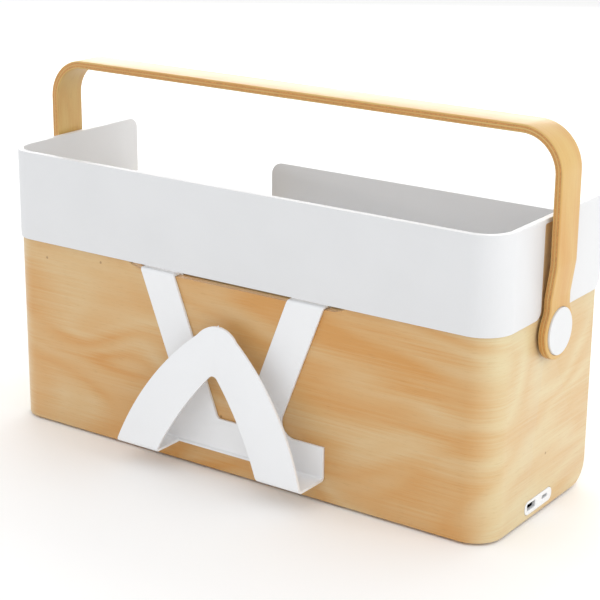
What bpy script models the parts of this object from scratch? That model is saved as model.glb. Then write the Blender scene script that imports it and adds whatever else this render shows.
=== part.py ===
"""Desk caddy: a birch plywood case with a white tray rim, a bent plywood handle that swings on two
pivots, a hook-on keyboard clip, and inside it the dividers, a cup shelf and a small USB hub.

Metres, +Z up, front towards -Y. The origin is the middle of the footprint, on the desk."""

import math

import bmesh
import bpy
from mathutils import Matrix, Vector

MM = 0.001
GAP = 0.3 * MM  # between pieces that touch
CUT_OVER = 1.0 * MM  # how far a cutter runs past the face it cuts

# Case: one bent board for the front and both sides
CASE_WIDTH = 434 * MM
CASE_DEPTH = 148 * MM
CASE_HEIGHT = 148.6 * MM
CASE_WALL = 6.5 * MM
CASE_CORNER = 22 * MM
CASE_FOOT_CORNER = 17 * MM
FOOT_HEIGHT = 2 * MM
FOOT_RADIUS = 6 * MM
FOOT_INSET = 22 * MM

# Tray rim on top of the case
TRAY_HEIGHT = 69.8 * MM
TRAY_WALL = 4.5 * MM
TRAY_PROUD = 1.5 * MM
TRAY_OVERHANG = 3 * MM
TRAY_EDGE = 2 * MM
TRAY_BACK_CORNER = 9 * MM
TAB_LENGTH = 14 * MM
TAB_THICK = 2.2 * MM
BLOCK_WIDTH = 12.2 * MM
BLOCK_HEIGHT = 14.6 * MM
BLOCK_LENGTH = 15 * MM
FRONT_BLOCK_Y = -43.5 * MM
REAR_BLOCK_Y = 38 * MM

# Slot in each end of the tray, behind the handle's arm
SLOT_HALF = 16.8 * MM
SLOT_TOP_MARGIN = 3.2 * MM
SLOT_TOP_RADIUS = 1.8 * MM
SLOT_FLARE = 7 * MM
SLOT_SKIN = 1.2 * MM
BACKING_THICK = 1.5 * MM

# Handle: one bent strip
HANDLE_WIDTH = 29 * MM
HANDLE_THICK = 6 * MM
HANDLE_TOP = 280.2 * MM
HANDLE_BEND = 29 * MM
HANDLE_EDGE = 0.8 * MM
HANDLE_END_RADIUS = 20.5 * MM
HANDLE_NECK_FILLET = 14 * MM
HANDLE_CLEARANCE = 1.8 * MM  # from the case's side to the arm
JOGGLE_OUT = 3.2 * MM
JOGGLE_LOW = 162 * MM
JOGGLE_HIGH = 186 * MM
JOGGLE_RADIUS = 18 * MM
PIVOT_Y = 3.5 * MM
PIVOT_HEIGHT = 137 * MM
BOLT_RADIUS = 3 * MM
BOLT_CLEARANCE = 0.3 * MM
BOLT_HEAD_RADIUS = 5.5 * MM
BOLT_HEAD_HEIGHT = 2.2 * MM
BOLT_HEAD_POCKET = 4 * MM
BOLT_TAIL = 8.5 * MM
SPACER_RADIUS = 11 * MM
SPACER_THICK = 1.2 * MM
WASHER_RADIUS = 8 * MM
WASHER_THICK = 1.2 * MM
NUT_RADIUS = 5.6 * MM
NUT_THICK = 5 * MM
CAP_RADIUS = 17 * MM
CAP_THICK = 2.4 * MM
CAP_RECESS = 1.2 * MM
CAP_EDGE = 0.6 * MM

# Notch for the clip in the case's front edge
NOTCH_HALF = 97 * MM
NOTCH_CENTRE_X = 2 * MM
NOTCH_DEPTH = 4.1 * MM
NOTCH_END = 9 * MM

# Clip: one bent sheet
SHEET = 2 * MM
CLIP_HALF = 84 * MM
CLIP_INNER_HALF = 46.3 * MM
CLIP_DEPTH = 32.5 * MM
CLIP_SHELF = 17 * MM
CLIP_TOP = 119.5 * MM
CLIP_LEAN = 16.5 * MM
CLIP_BEND = 2.4 * MM
CLIP_HOOK_BEND = 1.6 * MM
CLIP_LIP = 3.5 * MM
CLIP_LIP_CLEARANCE = 0.6 * MM
CLIP_BAR_TOP = 42 * MM
STRAP_TOP_OUTER = 83.5 * MM
STRAP_TOP_INNER = 52.5 * MM
STRAP_SLANT = 0.39  # inward travel for each unit down
APEX_RADIUS = 22 * MM
ARCH_HEIGHT = 83.5 * MM
ARCH_RADIUS = 5 * MM
LEG_BULGE = 8.3 * MM
ARCH_BULGE = 2.9 * MM

# Inside the case
BOARD_THICK = 9 * MM
PANEL_THICK = 6 * MM
PANEL_BACK = 67 * MM  # its outer face, behind the case's middle
PANEL_LIFT = 1.2 * MM
DIVIDER_Y = -35 * MM
SIDE_DIVIDER_X = -70 * MM
SHELF_HEIGHT = CASE_HEIGHT + 14.4 * MM
SHELF_THICK = 1.5 * MM
SHELF_LEFT = -68 * MM
SHELF_BACK = 72 * MM
TAB_TOP = 202 * MM
TAB_CORNER = 10 * MM
PAD_THICK = 3 * MM
PAD_INSET = 30.5 * MM  # from the case's inner sides
GROMMET_INSET = 60.5 * MM
GROMMET_HEIGHT = 42 * MM
GROMMET_RADIUS = 13 * MM
GROMMET_HOLE = 9 * MM
GROMMET_LIP = 2.5 * MM
GROMMET_LIP_THICK = 1.6 * MM

# Hub
PLATE_LENGTH = 40.4 * MM
PLATE_HEIGHT = 10.2 * MM
PLATE_CORNER = 4.8 * MM
PLATE_THICK = 2.9 * MM
PLATE_PROUD = 0.4 * MM
PLATE_Y = 0.8 * MM
PLATE_LEVEL = 8.3 * MM
PORT_LEVEL = 8.8 * MM
USB_A_Y = -10 * MM
USB_C_Y = 10.3 * MM
USB_A_OPENING = (12.5 * MM, 5.2 * MM)
USB_C_OPENING = (8.6 * MM, 2.8 * MM)
PORT_WALL = 0.4 * MM
HUB_LENGTH = 45 * MM
HUB_WIDTH = 42.6 * MM
HUB_LOW = 1 * MM
HUB_HIGH = 15.5 * MM
HUB_WALL = 1.5 * MM
HUB_NOTCH_LENGTH = 80 * MM
HUB_NOTCH_CLEARANCE = 1.2 * MM
CIRCUIT_THICK = 1.2 * MM
SOCKET_DEPTH = 13 * MM
INLET_DEPTH = 6 * MM

# Screws
SCREW_RADIUS = 1.6 * MM
SCREW_CLEARANCE = 0.3 * MM
SCREW_HEAD_RADIUS = 3.2 * MM
SCREW_HEAD_HEIGHT = 1.7 * MM
SCREW_LENGTH = 11 * MM
SCREW_END_CLEARANCE = 0.6 * MM
SCREW_INSET = 20.5 * MM  # from the case's inner side to a corner screw
SHELF_SCREW_INSET = 23 * MM  # from the shelf's end
MIDDLE_SCREW_SHIFT = 10 * MM

ROUND_STEPS = 32
SMALL_STEPS = 16
SMOOTH_ANGLE = math.radians(30)

# Places that follow from the sizes above
CLIP_FRONT = CASE_DEPTH / 2 + CLIP_DEPTH
BACK_END = CASE_DEPTH / 2 + TRAY_OVERHANG
CASE_Y = (CLIP_FRONT - BACK_END) / 2
FLOOR_Z = FOOT_HEIGHT  # the case's bottom edge
CASE_HALF = CASE_WIDTH / 2
CASE_INSIDE = CASE_HALF - CASE_WALL
FRONT_FACE = CASE_Y - CASE_DEPTH / 2
FRONT_INSIDE = FRONT_FACE + CASE_WALL
CASE_TOP = FLOOR_Z + CASE_HEIGHT
TRAY_BOTTOM = CASE_TOP + GAP
TRAY_TOP = TRAY_BOTTOM + TRAY_HEIGHT
TRAY_OUTSIDE = CASE_HALF + TRAY_PROUD
TRAY_INSIDE = TRAY_OUTSIDE - TRAY_WALL
PIVOT = Vector((0, CASE_Y + PIVOT_Y, FLOOR_Z + PIVOT_HEIGHT))
ARM_INSIDE = CASE_HALF + HANDLE_CLEARANCE
ARM_OUTSIDE = ARM_INSIDE + HANDLE_THICK
BOARD_TOP = FLOOR_Z + BOARD_THICK
SHELF_Z = FLOOR_Z + SHELF_HEIGHT
PANEL_Y = CASE_Y + PANEL_BACK - PANEL_THICK / 2
PANEL_FRONT = CASE_Y + PANEL_BACK - PANEL_THICK
DIVIDER_FRONT = CASE_Y + DIVIDER_Y
NOTCH_Z = CASE_TOP - NOTCH_DEPTH

PLANES = {
    "XY": Matrix(((1, 0, 0), (0, 1, 0), (0, 0, 1))),
    "XZ": Matrix(((1, 0, 0), (0, 0, -1), (0, 1, 0))),
    "YZ": Matrix(((0, 0, 1), (1, 0, 0), (0, 1, 0))),
}


def clear_scene():
    for obj in list(bpy.data.objects):
        bpy.data.objects.remove(obj, do_unlink=True)


def new_collection(name, hidden=False):
    collection = bpy.data.collections.new(name)
    collection.hide_render = hidden
    bpy.context.scene.collection.children.link(collection)
    return collection


def new_material(name, colour, roughness, metallic=0.0):
    material = bpy.data.materials.new(name)
    material.use_nodes = True
    shader = material.node_tree.nodes["Principled BSDF"]
    shader.inputs["Base Color"].default_value = (*colour, 1)
    shader.inputs["Roughness"].default_value = roughness
    shader.inputs["Metallic"].default_value = metallic
    return material


clear_scene()
PARTS = new_collection("desk_caddy")
CUTTERS = new_collection("cutters", hidden=True)
BIRCH = new_material("birch_ply", (0.60, 0.36, 0.17), 0.45)
PLYWOOD = new_material("inner_ply", (0.62, 0.42, 0.24), 0.6)
WHITE = new_material("white_coat", (0.83, 0.83, 0.82), 0.35)
FELT = new_material("grey_felt", (0.16, 0.16, 0.17), 0.95)
RUBBER = new_material("black_rubber", (0.03, 0.03, 0.03), 0.8)
STEEL = new_material("zinc_steel", (0.55, 0.55, 0.56), 0.35, 1.0)
BLACK = new_material("black_plastic", (0.03, 0.03, 0.035), 0.5)
CIRCUIT = new_material("circuit_green", (0.02, 0.16, 0.07), 0.5)


# Outlines

def arc_points(centre, radius, start, end, steps):
    """Points on an arc, both ends included; angles in degrees."""
    points = []
    for step in range(steps + 1):
        angle = math.radians(start + (end - start) * step / steps)
        points.append((centre[0] + radius * math.cos(angle), centre[1] + radius * math.sin(angle)))
    return points


def round_corners(corners, radii, closed=True, steps=8):
    """A polyline through corners, each rounded to its own radius (0 leaves it sharp)."""
    points = []
    count = len(corners)
    for index, corner in enumerate(corners):
        here = Vector(corner)
        radius = radii[index] if isinstance(radii, (list, tuple)) else radii
        if radius <= 0 or (not closed and index in (0, count - 1)):
            points.append(tuple(here))
            continue
        to_last = (Vector(corners[index - 1]) - here).normalized()
        to_next = (Vector(corners[(index + 1) % count]) - here).normalized()
        half = to_last.angle(to_next) / 2
        centre = here + (to_last + to_next).normalized() * (radius / math.sin(half))
        first = here + to_last * (radius / math.tan(half)) - centre
        last = here + to_next * (radius / math.tan(half)) - centre
        turn = last.angle_signed(first)
        for step in range(steps + 1):
            spoke = Matrix.Rotation(turn * step / steps, 2) @ first
            points.append(tuple(centre + spoke))
    return points


def bulged(start, end, bulge, steps=10):
    """Points strictly between start and end on the arc whose middle stands bulge left of the chord."""
    start, end = Vector(start), Vector(end)
    chord = end - start
    side = Vector((-chord.y, chord.x)).normalized()
    radius = (chord.length ** 2 / 4 + bulge ** 2) / (2 * bulge)
    centre = (start + end) / 2 + side * (bulge - radius)
    first, last = start - centre, end - centre
    turn = last.angle_signed(first)
    return [tuple(centre + Matrix.Rotation(turn * step / steps, 2) @ first) for step in range(1, steps)]


def strip_outline(corners, radii, thickness, steps=8):
    """The closed outline of a strip of even thickness bent along a path."""
    path = [Vector(point) for point in round_corners(corners, radii, closed=False, steps=steps)]
    left, right = [], []
    for index, point in enumerate(path):
        before = path[max(index - 1, 0)]
        after = path[min(index + 1, len(path) - 1)]
        into = (point - before).normalized() if index else (after - point).normalized()
        out = (after - point).normalized() if index < len(path) - 1 else into
        along = (into + out).normalized()
        reach = thickness / 2 / max(along.dot(into), 0.5)
        side = Vector((-along.y, along.x)) * reach
        left.append(tuple(point + side))
        right.append(tuple(point - side))
    return left + right[::-1]


def rectangle(low, high):
    return [(low[0], low[1]), (high[0], low[1]), (high[0], high[1]), (low[0], high[1])]


def slot_outline(centre, size, radius, steps=6):
    low = (centre[0] - size[0] / 2, centre[1] - size[1] / 2)
    high = (centre[0] + size[0] / 2, centre[1] + size[1] / 2)
    return round_corners(rectangle(low, high), radius, steps=steps)


# Solids

def place(obj, material=None, collection=None):
    (collection or PARTS).objects.link(obj)
    if collection is CUTTERS:
        obj.hide_render = True
        obj.display_type = "WIRE"
    if material:
        obj.data.materials.clear()
        obj.data.materials.append(material)
    return obj


def mesh_object(name, shape, material=None, collection=None):
    mesh = bpy.data.meshes.new(name)
    shape.to_mesh(mesh)
    shape.free()
    mesh.shade_smooth()
    mesh.set_sharp_from_angle(angle=SMOOTH_ANGLE)
    return place(bpy.data.objects.new(name, mesh), material, collection)


def plate(name, outlines, plane, middle, thickness, material=None, collection=None):
    """A flat solid: outlines in a plane (inner ones are holes), middle is its place along the normal."""
    curve = bpy.data.curves.new(name, "CURVE")
    curve.dimensions = "2D"
    curve.fill_mode = "BOTH"
    curve.extrude = thickness / 2
    for outline in outlines:
        spline = curve.splines.new("POLY")
        spline.points.add(len(outline) - 1)
        for point, place_at in zip(spline.points, outline):
            point.co = (place_at[0], place_at[1], 0, 1)
        spline.use_cyclic_u = True
    flat = bpy.data.objects.new(name + "_outline", curve)
    flat.matrix_world = PLANES[plane].to_4x4()
    normal_axis = {"XY": 2, "XZ": 1, "YZ": 0}[plane]
    flat.matrix_world.translation[normal_axis] = middle
    bpy.context.scene.collection.objects.link(flat)
    bpy.context.view_layer.update()
    mesh = bpy.data.meshes.new_from_object(flat.evaluated_get(bpy.context.evaluated_depsgraph_get()))
    world = flat.matrix_world.copy()
    bpy.data.objects.remove(flat, do_unlink=True)
    shape = bmesh.new()
    shape.from_mesh(mesh)
    bpy.data.meshes.remove(mesh)
    bmesh.ops.remove_doubles(shape, verts=shape.verts, dist=1e-6)
    bmesh.ops.recalc_face_normals(shape, faces=shape.faces)
    solid = mesh_object(name, shape, material, collection)
    solid.matrix_world = world
    return solid


def box(name, low, high, material=None, collection=None):
    shape = bmesh.new()
    bmesh.ops.create_cube(shape, size=1)
    low, high = Vector(low), Vector(high)
    size = high - low
    bmesh.ops.scale(shape, vec=size, verts=shape.verts)
    bmesh.ops.translate(shape, vec=(low + high) / 2, verts=shape.verts)
    return mesh_object(name, shape, material, collection)


def cylinder(name, centre, axis, radius, length, material=None, collection=None, steps=ROUND_STEPS):
    shape = bmesh.new()
    bmesh.ops.create_cone(
        shape, cap_ends=True, segments=steps, radius1=radius, radius2=radius, depth=length
    )
    turn = Vector((0, 0, 1)).rotation_difference(Vector(axis)).to_matrix()
    bmesh.ops.rotate(shape, matrix=turn, verts=shape.verts)
    bmesh.ops.translate(shape, vec=centre, verts=shape.verts)
    return mesh_object(name, shape, material, collection)


def cone(name, centre, axis, low_radius, high_radius, length):
    """A tapered cutter whose high_radius end lies towards axis."""
    shape = bmesh.new()
    bmesh.ops.create_cone(
        shape, cap_ends=True, segments=SMALL_STEPS, radius1=low_radius, radius2=high_radius, depth=length
    )
    turn = Vector((0, 0, 1)).rotation_difference(Vector(axis)).to_matrix()
    bmesh.ops.rotate(shape, matrix=turn, verts=shape.verts)
    bmesh.ops.translate(shape, vec=centre, verts=shape.verts)
    return mesh_object(name, shape, None, CUTTERS)


def turned(name, profile, centre, axis, material, steps=ROUND_STEPS):
    """A closed profile of (radius, height) points, down its outer side first, turned about axis."""
    mesh = bpy.data.meshes.new(name)
    edges = [(index, (index + 1) % len(profile)) for index in range(len(profile))]
    mesh.from_pydata([(radius, 0, height) for radius, height in profile], edges, [])
    obj = place(bpy.data.objects.new(name, mesh), material)
    obj.matrix_world = Matrix.Translation(centre) @ (
        Vector((0, 0, 1)).rotation_difference(Vector(axis)).to_matrix().to_4x4()
    )
    screw = obj.modifiers.new("Turn", "SCREW")
    screw.steps = screw.render_steps = steps
    screw.use_merge_vertices = True
    screw.merge_threshold = 1e-6
    screw.use_smooth_shade = True
    return obj


def combine(target, other, operation):
    modifier = target.modifiers.new(other.name, "BOOLEAN")
    modifier.operation = operation
    modifier.solver = "EXACT"
    modifier.object = other


def cut(target, *cutters):
    for cutter in cutters:
        combine(target, cutter, "DIFFERENCE")


def bevel(target, width, segments=2):
    modifier = target.modifiers.new("Rounded edges", "BEVEL")
    modifier.width = width
    modifier.segments = segments
    modifier.limit_method = "ANGLE"
    modifier.angle_limit = math.radians(30)
    modifier.use_clamp_overlap = True


def drill(target, centre, axis, radius, length):
    """Bores a hole whose middle is centre, length long over both ends."""
    name = f"hole_{target.name}_{len(target.modifiers)}"
    cut(target, cylinder(name, centre, axis, radius, length, None, CUTTERS, SMALL_STEPS))


def screw(name, seat, direction, targets, sunk=False):
    """A screw driven along direction into targets; its head stands on seat, or is sunk level with it."""
    direction = Vector(direction)
    seat = Vector(seat)
    tip, neck = SCREW_HEAD_HEIGHT / 3, SCREW_RADIUS
    taper = SCREW_HEAD_RADIUS - neck
    head = [(SCREW_HEAD_RADIUS, 0), (neck, -taper)]
    top = 0
    if sunk:
        sink = cone(f"sink_{name}", seat - direction * (CUT_OVER - taper) / 2, -direction,
                    neck + SCREW_CLEARANCE, SCREW_HEAD_RADIUS + SCREW_CLEARANCE + CUT_OVER, taper + CUT_OVER)
        cut(targets[0], sink)
    else:
        seat = seat - direction * GAP
        top = SCREW_HEAD_HEIGHT
        head = [(SCREW_HEAD_RADIUS * 0.7, top), (SCREW_HEAD_RADIUS, top * 0.45), (SCREW_HEAD_RADIUS, 0),
                (neck, 0)]
    profile = head + [
        (neck, -SCREW_LENGTH + tip),
        (neck * 0.35, -SCREW_LENGTH),
        (0, -SCREW_LENGTH),
        (0, top),
    ]
    turned(name, profile, seat, -direction, STEEL, SMALL_STEPS)
    hole_length = SCREW_LENGTH + SCREW_END_CLEARANCE + CUT_OVER
    middle = seat + direction * (SCREW_LENGTH + SCREW_END_CLEARANCE - CUT_OVER) / 2
    for target in targets:
        drill(target, middle, direction, SCREW_RADIUS + SCREW_CLEARANCE, hole_length)


# Pieces

def u_outline(outside, wall, corner, back):
    """Plan of a wall along the front and both sides; outside is how far it stands proud of the case."""
    half = CASE_HALF + outside
    front = FRONT_FACE - outside
    outer = round_corners(
        [(-half, back), (-half, front), (half, front), (half, back)],
        [0, corner + outside, corner + outside, 0],
    )
    inner_half, inner_front = half - wall, front + wall
    inner = round_corners(
        [(inner_half, back), (inner_half, inner_front), (-inner_half, inner_front), (-inner_half, back)],
        [0, corner + outside - wall, corner + outside - wall, 0],
    )
    return outer + inner


def make_case():
    back = CASE_Y + CASE_DEPTH / 2
    outline = u_outline(0, CASE_WALL, CASE_CORNER, back)
    shell = plate("case_shell", [outline], "XY", FLOOR_Z + CASE_HEIGHT / 2, CASE_HEIGHT, BIRCH)
    side = round_corners(
        rectangle((FRONT_FACE - CUT_OVER, FLOOR_Z - CUT_OVER), (back, CASE_TOP + CUT_OVER)),
        [0, CASE_FOOT_CORNER + CUT_OVER, 0, 0],
    )
    profile = plate("case_side", [side], "YZ", 0, CASE_WIDTH + 2 * CUT_OVER, None, CUTTERS)
    combine(shell, profile, "INTERSECT")
    low, high = NOTCH_CENTRE_X - NOTCH_HALF, NOTCH_CENTRE_X + NOTCH_HALF
    notch = [
        (low - NOTCH_END * 0.3, CASE_TOP + CUT_OVER),
        (low + NOTCH_END * 0.3, CASE_TOP - NOTCH_DEPTH * 0.55),
        (low + NOTCH_END, NOTCH_Z),
        (high - NOTCH_END, NOTCH_Z),
        (high - NOTCH_END * 0.3, CASE_TOP - NOTCH_DEPTH * 0.55),
        (high + NOTCH_END * 0.3, CASE_TOP + CUT_OVER),
    ]
    middle = (FRONT_FACE + FRONT_INSIDE) / 2
    cut(shell, plate("clip_notch", [notch], "XZ", middle, CASE_WALL + 2 * CUT_OVER, None, CUTTERS))
    plate_hole = slot_outline(
        (CASE_Y + PLATE_Y, FLOOR_Z + PLATE_LEVEL),
        (PLATE_LENGTH + 2 * GAP, PLATE_HEIGHT + 2 * GAP),
        PLATE_CORNER + GAP,
    )
    wall_middle = CASE_HALF - CASE_WALL / 2
    cut(shell, plate("hub_hole", [plate_hole], "YZ", wall_middle, CASE_WALL + 2 * CUT_OVER, None, CUTTERS))
    for sign in (-1, 1):
        centre = (sign * wall_middle, PIVOT.y, PIVOT.z)
        drill(shell, centre, (1, 0, 0), BOLT_RADIUS + BOLT_CLEARANCE, CASE_WALL + 2 * CUT_OVER)
    return shell


def slot_shape(half, top, bottom, flare, radius):
    """A slot open at the bottom, whose bottom corners are flared by a quarter circle."""
    left, right = PIVOT.y - half, PIVOT.y + half
    points = [(left - flare, bottom - CUT_OVER)]
    if flare:
        points += arc_points((left - flare, bottom + flare), flare, -90, 0, 6)
    points += round_corners([(left, bottom + flare), (left, top), (right, top), (right, bottom)],
                            [0, radius, radius, 0])[1:-1]
    if flare:
        points += arc_points((right + flare, bottom + flare), flare, 180, 270, 6)
    points.append((right + flare, bottom - CUT_OVER))
    return points


def make_tray(blocks):
    back = CASE_Y + BACK_END
    outline = u_outline(TRAY_PROUD, TRAY_WALL, CASE_CORNER, back)
    tray = plate("tray_shell", [outline], "XY", TRAY_BOTTOM + TRAY_HEIGHT / 2, TRAY_HEIGHT, WHITE)
    side = round_corners(
        rectangle((FRONT_FACE - 5 * CUT_OVER, TRAY_BOTTOM), (back, TRAY_TOP)),
        [0, TRAY_BACK_CORNER, TRAY_BACK_CORNER, 0],
    )
    profile = plate("tray_side", [side], "YZ", 0, 2 * TRAY_OUTSIDE + 2 * CUT_OVER, None, CUTTERS)
    combine(tray, profile, "INTERSECT")
    bevel(tray, TRAY_EDGE, 3)
    slot_top = TRAY_TOP - SLOT_TOP_MARGIN
    shape = slot_shape(SLOT_HALF, slot_top, TRAY_BOTTOM, SLOT_FLARE, SLOT_TOP_RADIUS)
    depth = TRAY_WALL - SLOT_SKIN
    for sign, hand in ((-1, "left"), (1, "right")):
        middle = sign * (TRAY_OUTSIDE - depth / 2 + CUT_OVER / 2)
        pocket = plate(f"slot_{hand}", [shape], "YZ", middle, depth + CUT_OVER, None, CUTTERS)
        cut(tray, pocket)
        for end, block in zip(("front", "rear"), blocks[hand]):
            middle_y = CASE_Y + (FRONT_BLOCK_Y if end == "front" else REAR_BLOCK_Y)
            inner = TRAY_INSIDE - TAB_LENGTH
            ends = sorted((sign * inner, sign * (TRAY_INSIDE + TRAY_WALL / 2 - GAP)))
            tab = box(
                f"tab_{end}_{hand}",
                (ends[0], middle_y - BLOCK_LENGTH / 2, TRAY_BOTTOM + GAP),
                (ends[1], middle_y + BLOCK_LENGTH / 2, TRAY_BOTTOM + GAP + TAB_THICK),
                None,
                CUTTERS,
            )
            combine(tray, tab, "UNION")
            seat = (sign * (CASE_INSIDE - BLOCK_WIDTH / 2), middle_y, TRAY_BOTTOM + GAP + TAB_THICK)
            screw(f"tray_screw_{end}_{hand}", seat, (0, 0, -1), (tray, block))


def make_backings():
    """The birch strips that line the tray's slots."""
    top = TRAY_TOP - SLOT_TOP_MARGIN - GAP
    shape = slot_shape(SLOT_HALF - GAP, top, TRAY_BOTTOM + GAP + CUT_OVER, 0, SLOT_TOP_RADIUS - GAP)
    inner = TRAY_INSIDE + SLOT_SKIN + GAP
    for sign, hand in ((-1, "left"), (1, "right")):
        middle = sign * (inner + BACKING_THICK / 2)
        plate(f"slot_lining_{hand}", [shape], "YZ", middle, BACKING_THICK, BIRCH)


def make_blocks():
    blocks = {"left": [], "right": []}
    for sign, hand in ((-1, "left"), (1, "right")):
        for end, place_y in (("front", FRONT_BLOCK_Y), ("rear", REAR_BLOCK_Y)):
            ends = sorted((sign * (CASE_INSIDE - GAP), sign * (CASE_INSIDE - BLOCK_WIDTH)))
            middle = CASE_Y + place_y
            block = box(
                f"mounting_block_{end}_{hand}",
                (ends[0], middle - BLOCK_LENGTH / 2, CASE_TOP - BLOCK_HEIGHT),
                (ends[1], middle + BLOCK_LENGTH / 2, CASE_TOP),
                PLYWOOD,
            )
            blocks[hand].append(block)
    return blocks


def handle_pieces():
    middle = ARM_INSIDE + HANDLE_THICK / 2
    low = PIVOT.z - HANDLE_END_RADIUS - CUT_OVER
    top = FLOOR_Z + HANDLE_TOP - HANDLE_THICK / 2
    right = [
        (middle, low),
        (middle, FLOOR_Z + JOGGLE_LOW),
        (middle + JOGGLE_OUT, FLOOR_Z + JOGGLE_HIGH),
        (middle + JOGGLE_OUT, top),
    ]
    corners = right + [(-x, z) for x, z in reversed(right)]
    bends = [0, JOGGLE_RADIUS, JOGGLE_RADIUS, HANDLE_BEND]
    outline = strip_outline(corners, bends + bends[::-1], HANDLE_THICK)
    width = 2 * HANDLE_END_RADIUS + 2 * CUT_OVER
    handle = plate("handle", [outline], "XZ", PIVOT.y, width, BIRCH)

    # The side view: a round end, a filleted neck and a straight strip.
    half = HANDLE_WIDTH / 2
    reach = HANDLE_END_RADIUS + HANDLE_NECK_FILLET
    rise = math.sqrt(reach ** 2 - (half + HANDLE_NECK_FILLET) ** 2)
    neck = math.degrees(math.atan2(rise, half + HANDLE_NECK_FILLET))
    side = arc_points((0, 0), HANDLE_END_RADIUS, 180 - neck, 360 + neck, 28)
    side += arc_points((half + HANDLE_NECK_FILLET, rise), HANDLE_NECK_FILLET, 180 + neck, 180, 4)[1:]
    over = HANDLE_TOP + CUT_OVER
    side += [(half, over), (-half, over)]
    side += arc_points((-half - HANDLE_NECK_FILLET, rise), HANDLE_NECK_FILLET, 0, -neck, 4)[:-1]
    side = [(PIVOT.y + y, PIVOT.z + z) for y, z in side]
    span = 2 * (ARM_OUTSIDE + JOGGLE_OUT + CUT_OVER)
    combine(handle, plate("handle_side", [side], "YZ", 0, span, None, CUTTERS), "INTERSECT")
    bevel(handle, HANDLE_EDGE)

    pieces = [handle]
    for sign, hand in ((-1, "left"), (1, "right")):
        out = Vector((sign, 0, 0))
        face = Vector((sign * ARM_OUTSIDE, PIVOT.y, PIVOT.z))
        for name, radius, depth in (
            ("cap_seat", CAP_RADIUS + GAP, CAP_RECESS),
            ("head_pocket", BOLT_HEAD_RADIUS + BOLT_CLEARANCE, BOLT_HEAD_POCKET),
            ("bolt_hole", BOLT_RADIUS + BOLT_CLEARANCE, HANDLE_THICK + CUT_OVER),
        ):
            centre = face + out * (CUT_OVER - depth) / 2
            steps = SMALL_STEPS if radius < CAP_RADIUS else ROUND_STEPS
            cutter = cylinder(
                f"{name}_{hand}", centre, (1, 0, 0), radius, depth + CUT_OVER, None, CUTTERS, steps
            )
            cut(handle, cutter)
        seat = face - out * (CAP_RECESS - GAP)
        profile = [
            (CAP_RADIUS - CAP_EDGE, CAP_THICK),
            (CAP_RADIUS - 0.3 * CAP_EDGE, CAP_THICK - 0.3 * CAP_EDGE),
            (CAP_RADIUS, CAP_THICK - CAP_EDGE),
            (CAP_RADIUS, 0),
            (0, 0),
            (0, CAP_THICK),
        ]
        pieces.append(turned(f"pivot_cap_{hand}", profile, seat, out, WHITE, 48))
    return pieces


def make_pivots():
    """Each pivot's bolt, the spacer outside the case, and the washer and nut inside it."""
    head_top = ARM_OUTSIDE - BOLT_HEAD_POCKET + GAP + BOLT_HEAD_HEIGHT
    tail = CASE_INSIDE - BOLT_TAIL
    bore = BOLT_RADIUS + BOLT_CLEARANCE
    for sign, hand in ((-1, "left"), (1, "right")):
        out = (sign, 0, 0)
        foot = Vector((sign * tail, PIVOT.y, PIVOT.z))
        length = head_top - tail
        bolt = [
            (BOLT_HEAD_RADIUS * 0.75, length),
            (BOLT_HEAD_RADIUS, length - BOLT_HEAD_HEIGHT * 0.4),
            (BOLT_HEAD_RADIUS, length - BOLT_HEAD_HEIGHT),
            (BOLT_RADIUS, length - BOLT_HEAD_HEIGHT),
            (BOLT_RADIUS, 0),
            (0, 0),
            (0, length),
        ]
        turned(f"pivot_bolt_{hand}", bolt, foot, out, STEEL, SMALL_STEPS)
        for name, radius, thick, start, material, steps in (
            ("pivot_spacer", SPACER_RADIUS, SPACER_THICK, CASE_HALF + GAP, BLACK, ROUND_STEPS),
            ("pivot_washer", WASHER_RADIUS, WASHER_THICK, CASE_INSIDE - GAP - WASHER_THICK, STEEL, 24),
            ("pivot_nut", NUT_RADIUS, NUT_THICK,
             CASE_INSIDE - 2 * GAP - WASHER_THICK - NUT_THICK, STEEL, 6),
        ):
            centre = (sign * (start + thick / 2), PIVOT.y, PIVOT.z)
            ring = cylinder(f"{name}_{hand}", centre, (1, 0, 0), radius, thick, material, None, steps)
            drill(ring, centre, (1, 0, 0), bore, thick + 2 * CUT_OVER)


def clip_path():
    """The clip seen from its side: lip, bridge, back, shelf and leaning front."""
    back = FRONT_FACE - GAP - SHEET / 2
    front = FRONT_FACE - CLIP_DEPTH + SHEET / 2
    bridge = NOTCH_Z + GAP + SHEET / 2
    lip = FRONT_INSIDE + CLIP_LIP_CLEARANCE + SHEET / 2
    shelf = FLOOR_Z + CLIP_SHELF
    corners = [
        (lip, bridge - CLIP_LIP), (lip, bridge), (back, bridge), (back, shelf), (front, shelf),
        (front + CLIP_LEAN, FLOOR_Z + CLIP_TOP + CUT_OVER),
    ]
    bends = [0, CLIP_HOOK_BEND, CLIP_HOOK_BEND, CLIP_BEND, CLIP_BEND, 0]
    return strip_outline(corners, bends, SHEET, 5)


def strap_edge(top_x, level):
    """How far from the middle a strap's edge is at a level above the case's bottom."""
    return top_x - (CASE_HEIGHT - level) * STRAP_SLANT


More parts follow.
